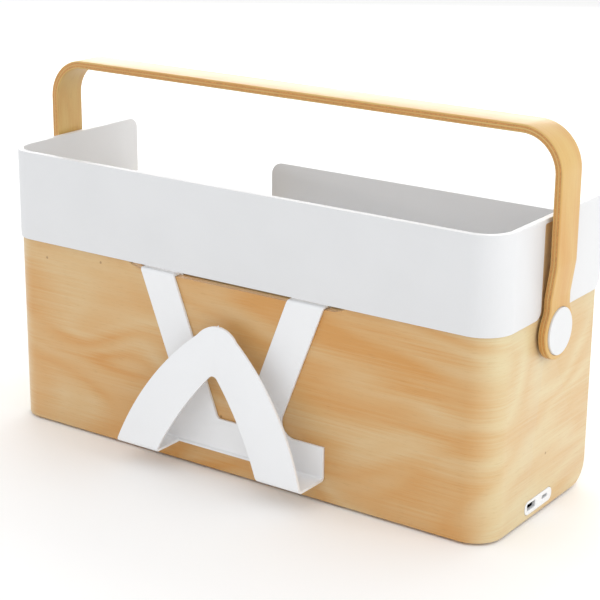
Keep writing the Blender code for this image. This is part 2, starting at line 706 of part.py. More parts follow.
def make_clip():
    outline = clip_path()
    clip = plate("keyboard_clip", [outline], "YZ", 0, 2 * CLIP_HALF, WHITE)
    split = FRONT_FACE - CLIP_DEPTH / 3
    rear_depth = split - (FRONT_FACE - 2 * CLIP_DEPTH)
    above = CASE_HEIGHT + 4 * CUT_OVER
    bar = CLIP_BAR_TOP
    rear_middle = (split + FRONT_INSIDE + CLIP_DEPTH / 2) / 2
    rear_span = FRONT_INSIDE + CLIP_DEPTH / 2 - split

    def rear(name, corners, radii):
        shape = [(x, FLOOR_Z + z) for x, z in round_corners(corners, radii, steps=5)]
        cut(clip, plate(name, [shape], "XZ", rear_middle, rear_span, None, CUTTERS))

    top_in, low_in = strap_edge(STRAP_TOP_INNER, above), strap_edge(STRAP_TOP_INNER, bar)
    top_out, low_out = strap_edge(STRAP_TOP_OUTER, above), strap_edge(STRAP_TOP_OUTER, bar)
    rear("between_straps", [(-low_in, bar), (low_in, bar), (top_in, above), (-top_in, above)],
         [APEX_RADIUS / 6, APEX_RADIUS / 6, 0, 0])
    past = CLIP_HALF + 2 * CUT_OVER
    for sign, hand in ((-1, "left"), (1, "right")):
        corners = [(sign * past, bar), (sign * past, above), (sign * top_out, above), (sign * low_out, bar)]
        rear(f"outside_strap_{hand}", corners, [0, 0, 0, APEX_RADIUS / 2])

    def front(name, shape):
        shape = [(x, FLOOR_Z + z) for x, z in shape]
        middle = split - rear_depth / 2
        cut(clip, plate(name, [shape], "XZ", middle, rear_depth, None, CUTTERS))

    arch_side = (ARCH_RADIUS * 0.8, ARCH_HEIGHT - ARCH_RADIUS * 0.4)
    foot = (CLIP_INNER_HALF, CLIP_SHELF)
    low = CLIP_SHELF - 3 * SHEET
    right_leg = bulged(foot, arch_side, -ARCH_BULGE)
    crown = arc_points((0, ARCH_HEIGHT - ARCH_RADIUS), ARCH_RADIUS, 37, 143, 6)
    arch = [(CLIP_INNER_HALF, low), foot] + right_leg + crown
    arch += [(-x, z) for x, z in reversed(right_leg)] + [(-CLIP_INNER_HALF, CLIP_SHELF), (-CLIP_INNER_HALF, low)]
    front("arch", arch)
    shoulder = math.radians(38)
    shoulder_point = (APEX_RADIUS * math.cos(shoulder),
                      CLIP_TOP - APEX_RADIUS + APEX_RADIUS * math.sin(shoulder))
    outer_foot = (CLIP_HALF, CLIP_SHELF + SHEET / 2)
    over = CLIP_TOP + 3 * CUT_OVER
    for sign, hand in ((-1, "left"), (1, "right")):
        edge = [outer_foot] + bulged(outer_foot, shoulder_point, -LEG_BULGE)
        edge += arc_points((0, CLIP_TOP - APEX_RADIUS), APEX_RADIUS, 38, 90, 6)
        edge += [(0, over), (past, over), (past, CLIP_SHELF + SHEET / 2)]
        front(f"outside_leg_{hand}", [(sign * x, z) for x, z in edge])
    gap_low = (-CLIP_INNER_HALF, split - CUT_OVER, FLOOR_Z + low)
    gap_high = (CLIP_INNER_HALF, FRONT_FACE - GAP - SHEET - CLIP_BEND / 2, FLOOR_Z + CLIP_SHELF + SHEET)
    cut(clip, box("shelf_gap", gap_low, gap_high, None, CUTTERS))
    return clip


def make_inside():
    inside = CASE_INSIDE - GAP
    front = FRONT_INSIDE + GAP
    panel_front = PANEL_FRONT - GAP
    corner = CASE_CORNER - CASE_WALL - GAP
    floor = round_corners(rectangle((-inside, front), (inside, panel_front)), [corner, corner, 0, 0])
    board = plate("bottom_board", [floor], "XY", FLOOR_Z + BOARD_THICK / 2, BOARD_THICK, PLYWOOD)
    hub_half = HUB_WIDTH / 2 + HUB_NOTCH_CLEARANCE
    hub_y = CASE_Y + PLATE_Y
    cut(board, box(
        "hub_notch",
        (CASE_INSIDE - HUB_NOTCH_LENGTH, hub_y - hub_half, FLOOR_Z - CUT_OVER),
        (CASE_HALF, hub_y + hub_half, BOARD_TOP + CUT_OVER),
        None,
        CUTTERS,
    ))
    box(
        "laptop_pad",
        (PAD_INSET - CASE_INSIDE, front, BOARD_TOP + GAP),
        (CASE_INSIDE - PAD_INSET, DIVIDER_FRONT - GAP, BOARD_TOP + GAP + PAD_THICK),
        FELT,
    )
    low, high = BOARD_TOP + GAP, SHELF_Z - GAP
    divider_back = DIVIDER_FRONT + PANEL_THICK
    divider = box("laptop_divider", (-inside, DIVIDER_FRONT, low), (inside, divider_back, high), PLYWOOD)
    side_low = (SIDE_DIVIDER_X - PANEL_THICK / 2, divider_back + GAP, low)
    side_high = (SIDE_DIVIDER_X + PANEL_THICK / 2, panel_front, high)
    box("side_divider", side_low, side_high, PLYWOOD)
    panel = box(
        "back_panel",
        (-inside, PANEL_FRONT, FLOOR_Z + PANEL_LIFT),
        (inside, PANEL_FRONT + PANEL_THICK, high),
        BIRCH,
    )
    grommet_at = Vector((CASE_INSIDE - GROMMET_INSET, PANEL_Y, FLOOR_Z + GROMMET_HEIGHT))
    cut(panel, cylinder("cable_hole", grommet_at, (0, 1, 0), GROMMET_RADIUS + GAP,
                        PANEL_THICK + 2 * CUT_OVER, None, CUTTERS))
    half = PANEL_THICK / 2 + GAP
    lip, end = GROMMET_RADIUS + GROMMET_LIP, half + GROMMET_LIP_THICK
    ring = [(lip, end), (lip, half), (GROMMET_RADIUS, half), (GROMMET_RADIUS, -half), (lip, -half),
            (lip, -end), (GROMMET_HOLE, -end), (GROMMET_HOLE, end)]
    turned("cable_grommet", ring, grommet_at, (0, 1, 0), RUBBER)
    end_x = CASE_INSIDE - SCREW_INSET
    inner_x = SIDE_DIVIDER_X + MIDDLE_SCREW_SHIFT
    for number, place_x in enumerate((-end_x, inner_x, (inner_x + end_x) / 2, end_x), 1):
        seat = (place_x, PANEL_FRONT + PANEL_THICK, FLOOR_Z + BOARD_THICK / 2)
        screw(f"panel_screw_{number}", seat, (0, -1, 0), (panel, board))
    return board, divider, panel


def make_shelf(divider, panel):
    """The cup shelf, a sheet bent up at its back."""
    back = CASE_Y + SHELF_BACK - SHELF_THICK / 2
    level = SHELF_Z + SHELF_THICK / 2
    top = FLOOR_Z + TAB_TOP
    right = TRAY_INSIDE - GAP
    path = strip_outline([(DIVIDER_FRONT, level), (back, level), (back, top)],
                         [0, 2 * SHELF_THICK, 0], SHELF_THICK, 5)
    middle = (SHELF_LEFT + right) / 2
    shelf = plate("cup_shelf", [path], "YZ", middle, right - SHELF_LEFT, WHITE)
    view = round_corners(
        rectangle((SHELF_LEFT, SHELF_Z - CUT_OVER), (right, top)), [0, 0, 0, TAB_CORNER]
    )
    depth = SHELF_BACK - DIVIDER_Y + 2 * CUT_OVER
    face = plate("shelf_front_view", [view], "XZ", CASE_Y + (SHELF_BACK + DIVIDER_Y) / 2, depth, None, CUTTERS)
    combine(shelf, face, "INTERSECT")
    divider_middle = DIVIDER_FRONT + PANEL_THICK / 2
    low_x, high_x = SHELF_LEFT + SHELF_SCREW_INSET, right - SHELF_SCREW_INSET - TAB_LENGTH / 2
    places = ((low_x, divider_middle, divider), (high_x, divider_middle, divider),
              (low_x, PANEL_Y, panel), (high_x, PANEL_Y, panel))
    for number, (place_x, place_y, into) in enumerate(places, 1):
        seat = (place_x, place_y, SHELF_Z + SHELF_THICK)
        screw(f"shelf_screw_{number}", seat, (0, 0, -1), (shelf, into), sunk=True)


def port(name, centre_y, opening, near, far, level, material=STEEL):
    """A hollow metal socket along X, open at far and shut at near."""
    centre = (CASE_Y + centre_y, level)
    radius = min(opening[1] / 2 * 0.98, opening[1] / 2 - 0.1 * MM)
    corner = radius if opening[0] < 10 * MM else 0.5 * MM
    outer = (opening[0] + 2 * PORT_WALL, opening[1] + 2 * PORT_WALL)
    middle, length = (near + far) / 2, abs(far - near)
    shell = plate(name, [slot_outline(centre, outer, corner + PORT_WALL, 4)], "YZ", middle, length, material)
    toward = math.copysign(PORT_WALL * 2, far - near)
    bore_near, bore_far = near + toward, far + math.copysign(CUT_OVER, far - near)
    bore = plate(f"{name}_bore", [slot_outline(centre, opening, corner, 4)], "YZ",
                 (bore_near + bore_far) / 2, abs(bore_far - bore_near), None, CUTTERS)
    cut(shell, bore)


def make_hub():
    hub_y = CASE_Y + PLATE_Y
    port_z = FLOOR_Z + PORT_LEVEL
    face = slot_outline((hub_y, FLOOR_Z + PLATE_LEVEL), (PLATE_LENGTH, PLATE_HEIGHT), PLATE_CORNER)
    holes = [slot_outline((CASE_Y + USB_A_Y, port_z), USB_A_OPENING, 0.5 * MM, 3),
             slot_outline((CASE_Y + USB_C_Y, port_z), USB_C_OPENING, USB_C_OPENING[1] / 2 * 0.98, 4)]
    plate_out = CASE_HALF + PLATE_PROUD
    plate_in = plate_out - PLATE_THICK
    plate("hub_plate", [face] + holes, "YZ", (plate_in + plate_out) / 2, PLATE_THICK, WHITE)

    right = CASE_INSIDE - GAP
    left = right - HUB_LENGTH
    half = HUB_WIDTH / 2
    low, high = FLOOR_Z + HUB_LOW, FLOOR_Z + HUB_HIGH
    case = box("hub_case", (left, hub_y - half, low), (right, hub_y + half, high), BLACK)
    cut(case, box(
        "hub_hollow",
        (left + HUB_WALL, hub_y - half + HUB_WALL, low + HUB_WALL),
        (right + CUT_OVER, hub_y + half - HUB_WALL, high - HUB_WALL),
        None,
        CUTTERS,
    ))
    mouth = plate_in - GAP
    port("usb_a_socket", USB_A_Y, USB_A_OPENING, mouth - SOCKET_DEPTH, mouth, port_z)
    port("usb_c_socket", USB_C_Y, USB_C_OPENING, mouth - SOCKET_DEPTH, mouth, port_z)
    inlet_hole = slot_outline(
        (CASE_Y + USB_C_Y, port_z),
        (USB_C_OPENING[0] + 2 * PORT_WALL + 2 * GAP, USB_C_OPENING[1] + 2 * PORT_WALL + 2 * GAP),
        USB_C_OPENING[1] / 2,
        4,
    )
    cut(case, plate("inlet_hole", [inlet_hole], "YZ", left, 4 * HUB_WALL, None, CUTTERS))
    port("hub_inlet", USB_C_Y, USB_C_OPENING, left + INLET_DEPTH, left, port_z)
    circuit_top = port_z - USB_A_OPENING[1] / 2 - PORT_WALL - GAP
    box(
        "hub_circuit_board",
        (left + 2 * HUB_WALL, hub_y - half + 2 * HUB_WALL, circuit_top - CIRCUIT_THICK),
        (right - HUB_WALL, hub_y + half - 2 * HUB_WALL, circuit_top),
        CIRCUIT,
    )
    tongue_half = USB_A_OPENING[0] / 2 - 1.2 * MM
    box(
        "usb_a_tongue",
        (mouth - SOCKET_DEPTH + 2 * PORT_WALL + GAP, CASE_Y + USB_A_Y - tongue_half, port_z + 0.3 * MM),
        (mouth - 1.5 * MM, CASE_Y + USB_A_Y + tongue_half, port_z + 1.9 * MM),
        BLACK,
    )


def make_feet():
    ends_x = CASE_INSIDE - FOOT_INSET
    front, rear = FRONT_INSIDE + FOOT_INSET, PANEL_FRONT - FOOT_INSET
    height = FOOT_HEIGHT - GAP
    edge = FOOT_HEIGHT / 5
    profile = [(FOOT_RADIUS, height), (FOOT_RADIUS, edge), (FOOT_RADIUS - edge, 0), (0, 0), (0, height)]
    for name, place_x, place_y in (
        ("foot_front_left", -ends_x, front),
        ("foot_front_right", ends_x, front),
        ("foot_rear_left", -ends_x, rear),
        ("foot_rear_right", ends_x, rear),
    ):
        turned(name, profile, Vector((place_x, place_y, 0)), (0, 0, 1), RUBBER, 24)


def hang_on(name, centre, pieces):
    """Parents pieces to an empty on their joint's axis, leaving them where they are."""
    pivot = bpy.data.objects.new(name, None)
    pivot.location = centre
    PARTS.objects.link(pivot)
    bpy.context.view_layer.update()
    for piece in pieces:
        piece.parent = pivot
        piece.matrix_parent_inverse = pivot.matrix_world.inverted()


make_case()
make_tray(make_blocks())
make_backings()
hang_on("handle_pivot", PIVOT, handle_pieces())
make_pivots()
hang_on("clip_pivot", Vector((0, FRONT_INSIDE, NOTCH_Z)), [make_clip()])
bottom_board, laptop_divider, back_panel = make_inside()
make_shelf(laptop_divider, back_panel)
make_hub()
make_feet()
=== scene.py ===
"""The looks of a desk caddy: birch plywood, white powder-coated sheet, felt, steel and rubber.

Laid out as an add-on: sizes and colours are scene properties, each group of pieces has an operator."""

import math

import bmesh
import bpy
import numpy as np
from mathutils import Matrix, Vector


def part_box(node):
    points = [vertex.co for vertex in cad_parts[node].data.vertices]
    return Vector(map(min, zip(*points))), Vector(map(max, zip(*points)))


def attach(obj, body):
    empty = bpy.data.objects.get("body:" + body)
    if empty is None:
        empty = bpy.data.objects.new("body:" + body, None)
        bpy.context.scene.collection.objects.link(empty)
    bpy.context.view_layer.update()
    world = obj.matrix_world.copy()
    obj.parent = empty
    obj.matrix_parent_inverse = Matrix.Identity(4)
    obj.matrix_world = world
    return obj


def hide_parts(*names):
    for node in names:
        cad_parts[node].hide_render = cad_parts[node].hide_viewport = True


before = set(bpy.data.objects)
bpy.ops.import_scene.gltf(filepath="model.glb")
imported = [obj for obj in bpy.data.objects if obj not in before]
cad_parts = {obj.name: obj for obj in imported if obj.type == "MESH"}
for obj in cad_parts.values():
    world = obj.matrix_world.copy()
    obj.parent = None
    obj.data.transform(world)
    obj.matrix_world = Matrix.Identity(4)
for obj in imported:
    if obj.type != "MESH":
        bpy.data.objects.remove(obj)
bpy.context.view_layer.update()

bl_info = {
    "name": "Desk Caddy",
    "version": (1, 0, 0),
    "blender": (4, 5, 0),
    "location": "View3D > Sidebar > Caddy",
    "description": "Builds the finished pieces of a plywood desk caddy",
    "category": "Object",
}

MM = 0.001
OVER = 1 * MM  # how far a cutter runs past the face it cuts
GAP = 0.3 * MM  # clearance between neighbours
BOLT_HOLE = 3.3 * MM
CAP_SEAT = 17.3 * MM
HEAD_POCKET = (5.8 * MM, 4 * MM)
TAB_HOLE = 1.9 * MM
STRAP_SLANT = 0.39
ARCH_RADIUS = 5 * MM
HEAD_HEIGHT = 1.7 * MM
SUNK_HEAD_HEIGHT = 1.6 * MM
LIP_DROP = 3.5 * MM
LEG_BULGE_IN = 2.9 * MM
LEG_BULGE_OUT = 8.3 * MM
ARCH_START = 37  # degrees
SHOULDER = 38  # degrees
FRONT_SHADE_FADE = 30 * MM  # run over which the painted shade on the front fades out into the sides
PLATE_ROUND = 0.47  # corner radius of the outlet plate's hole, as a share of the plate's height
NOTCH_SHOULDER = 0.55  # of the notch's depth
NOTCH_RAMP = 0.3  # of the run of the notch's ends
CUT_EDGE = 0.35 * MM  # rounding of edges that are cut late
TAB_DRILL = 12 * MM
STATION_STEP = 3 * MM
FLOOR_HALF = 6.0
FLOOR_THICK = 0.02
LIGHT_AIM = (0, 0, 0.15)
SIDES = ((-1, "left"), (1, "right"))
ENDS = ("front", "rear")

CASE_LOW, CASE_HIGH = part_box("case_shell")
TRAY_LOW, TRAY_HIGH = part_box("tray_shell")
HANDLE_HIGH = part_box("handle")[1]
CLIP_LOW, CLIP_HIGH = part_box("keyboard_clip")
CAP_LOW, CAP_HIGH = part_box("pivot_cap_right")
PLATE_LOW, PLATE_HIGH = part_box("hub_plate")
PIVOT = (CAP_LOW + CAP_HIGH) / 2
PIVOT_Y, PIVOT_Z = PIVOT.y, PIVOT.z
FLOOR_Z = CASE_LOW.z

PLANES = {
    "XY": Matrix(((1, 0, 0), (0, 1, 0), (0, 0, 1))),
    "XZ": Matrix(((1, 0, 0), (0, 0, -1), (0, 1, 0))),
    "YZ": Matrix(((0, 0, 1), (1, 0, 0), (0, 1, 0))),
}


# Sizes and colours that a user would change

def length(name, description, millimetres):
    return bpy.props.FloatProperty(
        name=name, description=description, default=millimetres * MM, min=0, unit="LENGTH"
    )


def colour(name, description, default):
    return bpy.props.FloatVectorProperty(
        name=name, description=description, default=default, size=3, min=0, max=1, subtype="COLOR"
    )


def factor(name, description, default):
    return bpy.props.FloatProperty(
        name=name, description=description, default=default, min=0, max=1, subtype="FACTOR"
    )


def angle(name, description, degrees):
    return bpy.props.FloatProperty(
        name=name, description=description, default=math.radians(degrees), unit="ROTATION"
    )


class CaddyCase(bpy.types.PropertyGroup):
    wall: length("Wall", "Thickness of the bent plywood", 6.5)
    corner: length("Corner", "Outer radius of the upright corners", 22)
    foot_corner: length("Foot corner", "Radius of the lower back corners", 17)
    edge: length("Edge", "Rounding of the plywood's edges", 0.8)
    notch_half: length("Notch half", "Half the notch's width at the top edge", 97)
    notch_centre: length("Notch centre", "How far right of the middle the notch lies", 2)
    notch_depth: length("Notch depth", "How deep the clip's notch is", 4.1)
    notch_end: length("Notch end", "Run of the notch's sloping ends", 9)


class CaddyTray(bpy.types.PropertyGroup):
    wall: length("Wall", "Thickness of the tray's wall", 4.5)
    proud: length("Proud", "How far the tray stands out past the case", 1.5)
    edge: length("Edge", "Rounding of the rim", 2)
    back_corner: length("Back corner", "Radius of the free corners", 9)
    slot_half: length("Slot half", "Half the width of the slot behind an arm", 16.8)
    slot_margin: length("Slot margin", "From the slot's top to the rim", 3.2)
    slot_radius: length("Slot radius", "Radius of the slot's top corners", 1.8)
    slot_flare: length("Slot flare", "Radius of the slot's flared foot", 7)
    slot_skin: length("Slot skin", "Wall left behind the slot", 1.2)
    tab: length("Tab", "How far a screw tab reaches inwards", 14)
    tab_thick: length("Tab thickness", "Thickness of a screw tab", 2.2)


class CaddyHandle(bpy.types.PropertyGroup):
    width: length("Width", "Width of the strip", 29)
    thick: length("Thickness", "Thickness of the strip", 6)
    end_radius: length("End radius", "Radius of the round ends", 20.5)
    neck: length("Neck fillet", "Fillet between strip and round end", 14)
    bend: length("Bend", "Middle radius of the top corners", 29)
    joggle: length("Joggle", "How far the upper arm stands out", 3.2)
    joggle_low: length("Joggle low", "Start of the joggle above the case's foot", 162)
    joggle_high: length("Joggle high", "End of the joggle above the case's foot", 186)
    joggle_radius: length("Joggle radius", "Bend radius of the joggle", 18)
    edge: length("Edge", "Rounding of the strip's edges", 1.0)
    cap_recess: length("Cap recess", "How deep a cap sits in the arm", 1.2)


class CaddyClip(bpy.types.PropertyGroup):
    sheet: length("Sheet", "Thickness of the clip's sheet", 2)
    edge: length("Edge", "Rounding of the clip's cut edges", 0.55)
    bend: length("Bend", "Middle radius of the clip's bends", 2.4)
    hook_bend: length("Hook bend", "Middle radius of the hook's bends", 1.6)
    shelf: length("Shelf", "Level of the shelves' middle above the case's foot", 17)
    inner_half: length("Inner half", "Half the gap between the legs' feet", 46.3)
    bar_top: length("Bar top", "Top of the bar that joins the straps", 42)
    strap_outer: length("Strap outer", "Strap's outer edge from the middle, at the top", 83.5)
    strap_inner: length("Strap inner", "Strap's inner edge from the middle, at the top", 52.5)
    lean: length("Lean", "How far the front leans back over its height", 16.5)
    top: length("Top", "Top of the front above the case's foot", 119.5)
    apex: length("Apex", "Radius at the top of the front", 22)
    arch: length("Arch", "Top of the opening above the case's foot", 83.5)


class CaddyWood(bpy.types.PropertyGroup):
    pale: colour("Pale", "Lightest birch", (0.69, 0.58, 0.345))
    warm: colour("Warm", "Darker figure in the birch", (0.60, 0.295, 0.078))
    cross: colour("Cross ply", "End grain on the edges", (0.50, 0.29, 0.13))
    glue: colour("Glue line", "Thin lines between the plies", (0.24, 0.11, 0.04))
    # Painted shade on the front: the case is one veneer all round, but its front is drawn darker and warmer
    # than the sides to stand in for the shade it falls in.
    front_painted_shade: factor("Front painted shade", "Painted shade: how much darker and warmer the front is drawn than the sides", 0.5)


class CaddyCoat(bpy.types.PropertyGroup):
    white: colour("White", "Powder coat", (0.735, 0.745, 0.76))
    roughness: factor("Roughness", "Roughness of the powder coat", 0.42)


class CaddyStage(bpy.types.PropertyGroup):
    azimuth: angle("Azimuth", "Camera's direction, from the front towards the right end", 34.74)
    elevation: angle("Elevation", "Camera's height above the horizon", 17.66)
    roll: angle("Roll", "Camera's turn about its view", 0.56)
    distance: length("Distance", "From the camera to its target", 1282.8)
    target: bpy.props.FloatVectorProperty(
        name="Target", description="What the camera looks at", default=(0.0137, 0.01475, 0.1256),
        unit="LENGTH",
    )
    lens: bpy.props.FloatProperty(name="Lens", description="Focal length in millimetres", default=101.9)
    shift: bpy.props.FloatVectorProperty(
        name="Shift", description="Camera shift", default=(-0.0072, -0.0083), size=2
    )


# Outlines

def arc_points(centre, radius, start, end, steps):
    points = []
    for step in range(steps + 1):
        turn = math.radians(start + (end - start) * step / steps)
        points.append((centre[0] + radius * math.cos(turn), centre[1] + radius * math.sin(turn)))
    return points


def swept(centre, first, last, steps):
    """Points on the arc about a centre, from the end of one spoke to the end of the other."""
    turn = last.angle_signed(first)
    return [tuple(centre + Matrix.Rotation(turn * step / steps, 2) @ first) for step in range(steps + 1)]


def round_corners(corners, radii, closed=True, steps=16):
    """A polyline through corners, each rounded to its own radius (0 leaves it sharp)."""
    points = []
    count = len(corners)
    for index, corner in enumerate(corners):
        here = Vector(corner)
        radius = radii[index] if isinstance(radii, (list, tuple)) else radii
        if radius <= 0 or (not closed and index in (0, count - 1)):
            points.append(tuple(here))
            continue
        to_last = (Vector(corners[index - 1]) - here).normalized()
        to_next = (Vector(corners[(index + 1) % count]) - here).normalized()
        half = to_last.angle(to_next) / 2
        centre = here + (to_last + to_next).normalized() * (radius / math.sin(half))
        first = here + to_last * (radius / math.tan(half)) - centre
        last = here + to_next * (radius / math.tan(half)) - centre
        points += swept(centre, first, last, steps)
    return points


def bulged(start, end, bulge):
    """Points strictly between start and end on the arc whose middle stands bulge left of the chord."""
    start, end = Vector(start), Vector(end)
    chord = end - start
    side = Vector((-chord.y, chord.x)).normalized()
    radius = (chord.length ** 2 / 4 + bulge ** 2) / (2 * bulge)
    centre = (start + end) / 2 + side * (bulge - radius)
    return swept(centre, start - centre, end - centre, 24)[1:-1]


def path_sides(path):
    """The left-hand normal at each point of a polyline, stretched so that offsets stay even."""
    sides = []
    for index, point in enumerate(path):
        before, after = path[max(index - 1, 0)], path[min(index + 1, len(path) - 1)]
        into = (point - before).normalized() if index else (after - point).normalized()
        out = (after - point).normalized() if index < len(path) - 1 else into
        along = (into + out).normalized()
        sides.append(Vector((-along.y, along.x)) / max(along.dot(into), 0.5))
    return sides


def strip_outline(corners, radii, thickness):
    """The closed outline of a strip of even thickness bent along a path."""
    path = [Vector(point) for point in round_corners(corners, radii, closed=False, steps=10)]
    sides = path_sides(path)
    left = [tuple(point + side * thickness / 2) for point, side in zip(path, sides)]
    right = [tuple(point - side * thickness / 2) for point, side in zip(path, sides)]
    return left + right[::-1]


def rectangle(low, high):
    return [(low[0], low[1]), (high[0], low[1]), (high[0], high[1]), (low[0], high[1])]


# Meshes

def scene_object(name, data):
    obj = bpy.data.objects.new(name, data)
    bpy.context.scene.collection.objects.link(obj)
    return obj


def mesh_object(name, shape):
    mesh = bpy.data.meshes.new(name)
    shape.to_mesh(mesh)
    shape.free()
    return scene_object(name, mesh)


def stand(name, shape, centre, axis):
    """Turns a shape made upright at the origin to its axis and moves it to its centre."""
    turn = Vector((0, 0, 1)).rotation_difference(Vector(axis)).to_matrix()
    bmesh.ops.rotate(shape, matrix=turn, verts=shape.verts)
    bmesh.ops.translate(shape, vec=centre, verts=shape.verts)
    return mesh_object(name, shape)


def skin(shape, rings):
    """Faces between neighbouring rings, where a ring may be a single point."""
    steps = max(len(ring) for ring in rings)
    for low, high in zip(rings, rings[1:]):
        for k in range(steps):
            n = (k + 1) % steps
            corners = [low[k % len(low)], low[n % len(low)], high[n % len(high)], high[k % len(high)]]
            shape.faces.new(list(dict.fromkeys(corners)))


def plate(name, outlines, plane, middle, thickness):
    """A flat solid: outlines in a plane (inner ones are holes), middle is its place along the normal."""
    curve = bpy.data.curves.new(name, "CURVE")
    curve.dimensions = "2D"
    curve.fill_mode = "BOTH"
    curve.extrude = thickness / 2
    for outline in outlines:
        spline = curve.splines.new("POLY")
        spline.points.add(len(outline) - 1)
        for point, (across, up) in zip(spline.points, outline):
            point.co = (across, up, 0, 1)
        spline.use_cyclic_u = True
    flat = scene_object(name + "_outline", curve)
    bpy.context.view_layer.update()
    mesh = bpy.data.meshes.new_from_object(flat.evaluated_get(bpy.context.evaluated_depsgraph_get()))
    bpy.data.objects.remove(flat, do_unlink=True)
    place = PLANES[plane].to_4x4()
    place.translation[{"XY": 2, "XZ": 1, "YZ": 0}[plane]] = middle
    mesh.transform(place)
    shape = bmesh.new()
    shape.from_mesh(mesh)
    bpy.data.meshes.remove(mesh)
    bmesh.ops.remove_doubles(shape, verts=shape.verts, dist=1e-6)
    bmesh.ops.recalc_face_normals(shape, faces=shape.faces)
    return mesh_object(name, shape)


def box(name, low, high):
    shape = bmesh.new()
    bmesh.ops.create_cube(shape, size=1)
    low, high = Vector(low), Vector(high)
    bmesh.ops.scale(shape, vec=high - low, verts=shape.verts)
    bmesh.ops.translate(shape, vec=(low + high) / 2, verts=shape.verts)
    return mesh_object(name, shape)


def cylinder(name, centre, axis, radius, long, steps=48):
    shape = bmesh.new()
    bmesh.ops.create_cone(shape, cap_ends=True, segments=steps, radius1=radius, radius2=radius, depth=long)
    return stand(name, shape, centre, axis)


def lathe(name, profile, centre, axis, steps=96):
    """An open profile of (radius, height) points that starts and ends on the axis, turned about it."""
    shape = bmesh.new()
    rings = []
    for radius, height in profile:
        if radius == 0:
            rings.append([shape.verts.new((0, 0, height))])
            continue
        ring = [(radius * math.cos(math.tau * k / steps), radius * math.sin(math.tau * k / steps), height)
                for k in range(steps)]
        rings.append([shape.verts.new(point) for point in ring])
    skin(shape, rings)
    bmesh.ops.recalc_face_normals(shape, faces=shape.faces)
    return stand(name, shape, centre, axis)


def combine(target, other, operation="DIFFERENCE"):
    modifier = target.modifiers.new(other.name, "BOOLEAN")
    modifier.operation = operation
    modifier.solver = "EXACT"
    modifier.object = other


def bevel(target, width, segments, degrees=30):
    modifier = target.modifiers.new("Rounded edges", "BEVEL")
    modifier.width = width
    modifier.segments = segments
    modifier.limit_method = "ANGLE"
    modifier.angle_limit = math.radians(degrees)


def bake_modifiers(obj, smooth=30):
    """Replaces obj's mesh with its evaluated one and removes its cutters."""
    bpy.context.view_layer.update()
    graph = bpy.context.evaluated_depsgraph_get()
    mesh = bpy.data.meshes.new_from_object(obj.evaluated_get(graph), depsgraph=graph)
    cutters = [modifier.object for modifier in obj.modifiers if modifier.type == "BOOLEAN"]
    obj.modifiers.clear()
    obj.data = mesh
    for cutter in cutters:
        bpy.data.objects.remove(cutter, do_unlink=True)
    smooth_shade(obj, smooth)
    return obj


def smooth_shade(obj, degrees):
    obj.data.shade_smooth()
    obj.data.set_sharp_from_angle(angle=math.radians(degrees))


def copy_of(node, edge, segments):
    """A merged copy of a CAD node's mesh, with its flat faces joined and its edges rounded."""
    shape = bmesh.new()
    shape.from_mesh(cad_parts[node].data)
    bmesh.ops.remove_doubles(shape, verts=shape.verts, dist=1e-6)
    bmesh.ops.dissolve_limit(shape, angle_limit=math.radians(1), verts=shape.verts, edges=shape.edges)
    obj = mesh_object(f"{node}_finished", shape)
    if edge:
        bevel(obj, edge, segments)
    return bake_modifiers(obj)


def set_sheet(obj, values):
    """Stores where each point lies in its sheet: along it, across it, and how deep under its outer face."""
    attribute = obj.data.attributes.new("sheet", "FLOAT_VECTOR", "POINT")
    attribute.data.foreach_set("vector", np.asarray(values, np.float32).ravel())


def points_of(obj):
    points = np.zeros(len(obj.data.vertices) * 3, np.float32)
    obj.data.vertices.foreach_get("co", points)
    return points.reshape(-1, 3).astype(float)


def sheet_from_path(obj, path, plane_axes, across_axis, outer):
    """Reads along and depth from a polyline down the sheet's outer face."""
    points = points_of(obj)
    flat = points[:, plane_axes]
    path = np.asarray(path, float)
    steps = path[1:] - path[:-1]
    lengths = np.linalg.norm(steps, axis=1)
    starts = np.concatenate([[0], np.cumsum(lengths)[:-1]])
    offset = flat[:, None, :] - path[None, :-1, :]
    share = np.clip((offset * steps).sum(2) / lengths ** 2, 0, 1)
    near = path[None, :-1, :] + share[..., None] * steps
    gaps = np.linalg.norm(flat[:, None, :] - near, axis=2)
    best = gaps.argmin(1)
    rows = np.arange(len(points))
    along = starts[best] + share[rows, best] * lengths[best]
    set_sheet(obj, np.column_stack([along, points[:, across_axis], gaps[rows, best] + outer]))


def sheet_from_box(obj, along_axis, depth_axis, shift=0.0):
    """Reads a flat board's along, across and depth from its axes; shift gives boards their own figure."""
    points = points_of(obj)
    across_axis = 3 - along_axis - depth_axis
    depth = points[:, depth_axis].max() - points[:, depth_axis]
    set_sheet(obj, np.column_stack([points[:, along_axis] + shift, points[:, across_axis], depth]))


def finish_piece(obj, name, finish, slot, body, *nodes):
    obj.name = name
    obj.data.name = name
    obj.data.materials.clear()
    obj.data.materials.append(material(finish))
    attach(obj, body)
    if nodes:
        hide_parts(*nodes)
    return obj


def finish_copy(node, name, finish, slot, edge, segments=2, sheet=()):
    """A CAD node's merged copy with its edges rounded; sheet holds its along and depth axes."""
    obj = copy_of(node, edge * MM, segments)
    if sheet:
        sheet_from_box(obj, *sheet)
    return finish_piece(obj, name, finish, slot, "root", node)


# Materials

def connect(tree, value, socket):
    """Links a socket to the output that feeds it, or gives it a fixed value."""
    if isinstance(value, bpy.types.NodeSocket):
        tree.links.new(value, socket)
    else:
        socket.default_value = value


def add_node(tree, kind, values=(), **settings):
    node = tree.nodes.new(kind)
    for key, value in settings.items():
        setattr(node, key, value)
    for key, value in dict(values).items():
        connect(tree, value, node.inputs[key])
    return node


def tinted(colour, tint):
    """A colour times one share, or times a share for each channel."""
    shares = tint if isinstance(tint, tuple) else (tint,) * 3
    return tuple(value * share for value, share in zip(colour, shares))


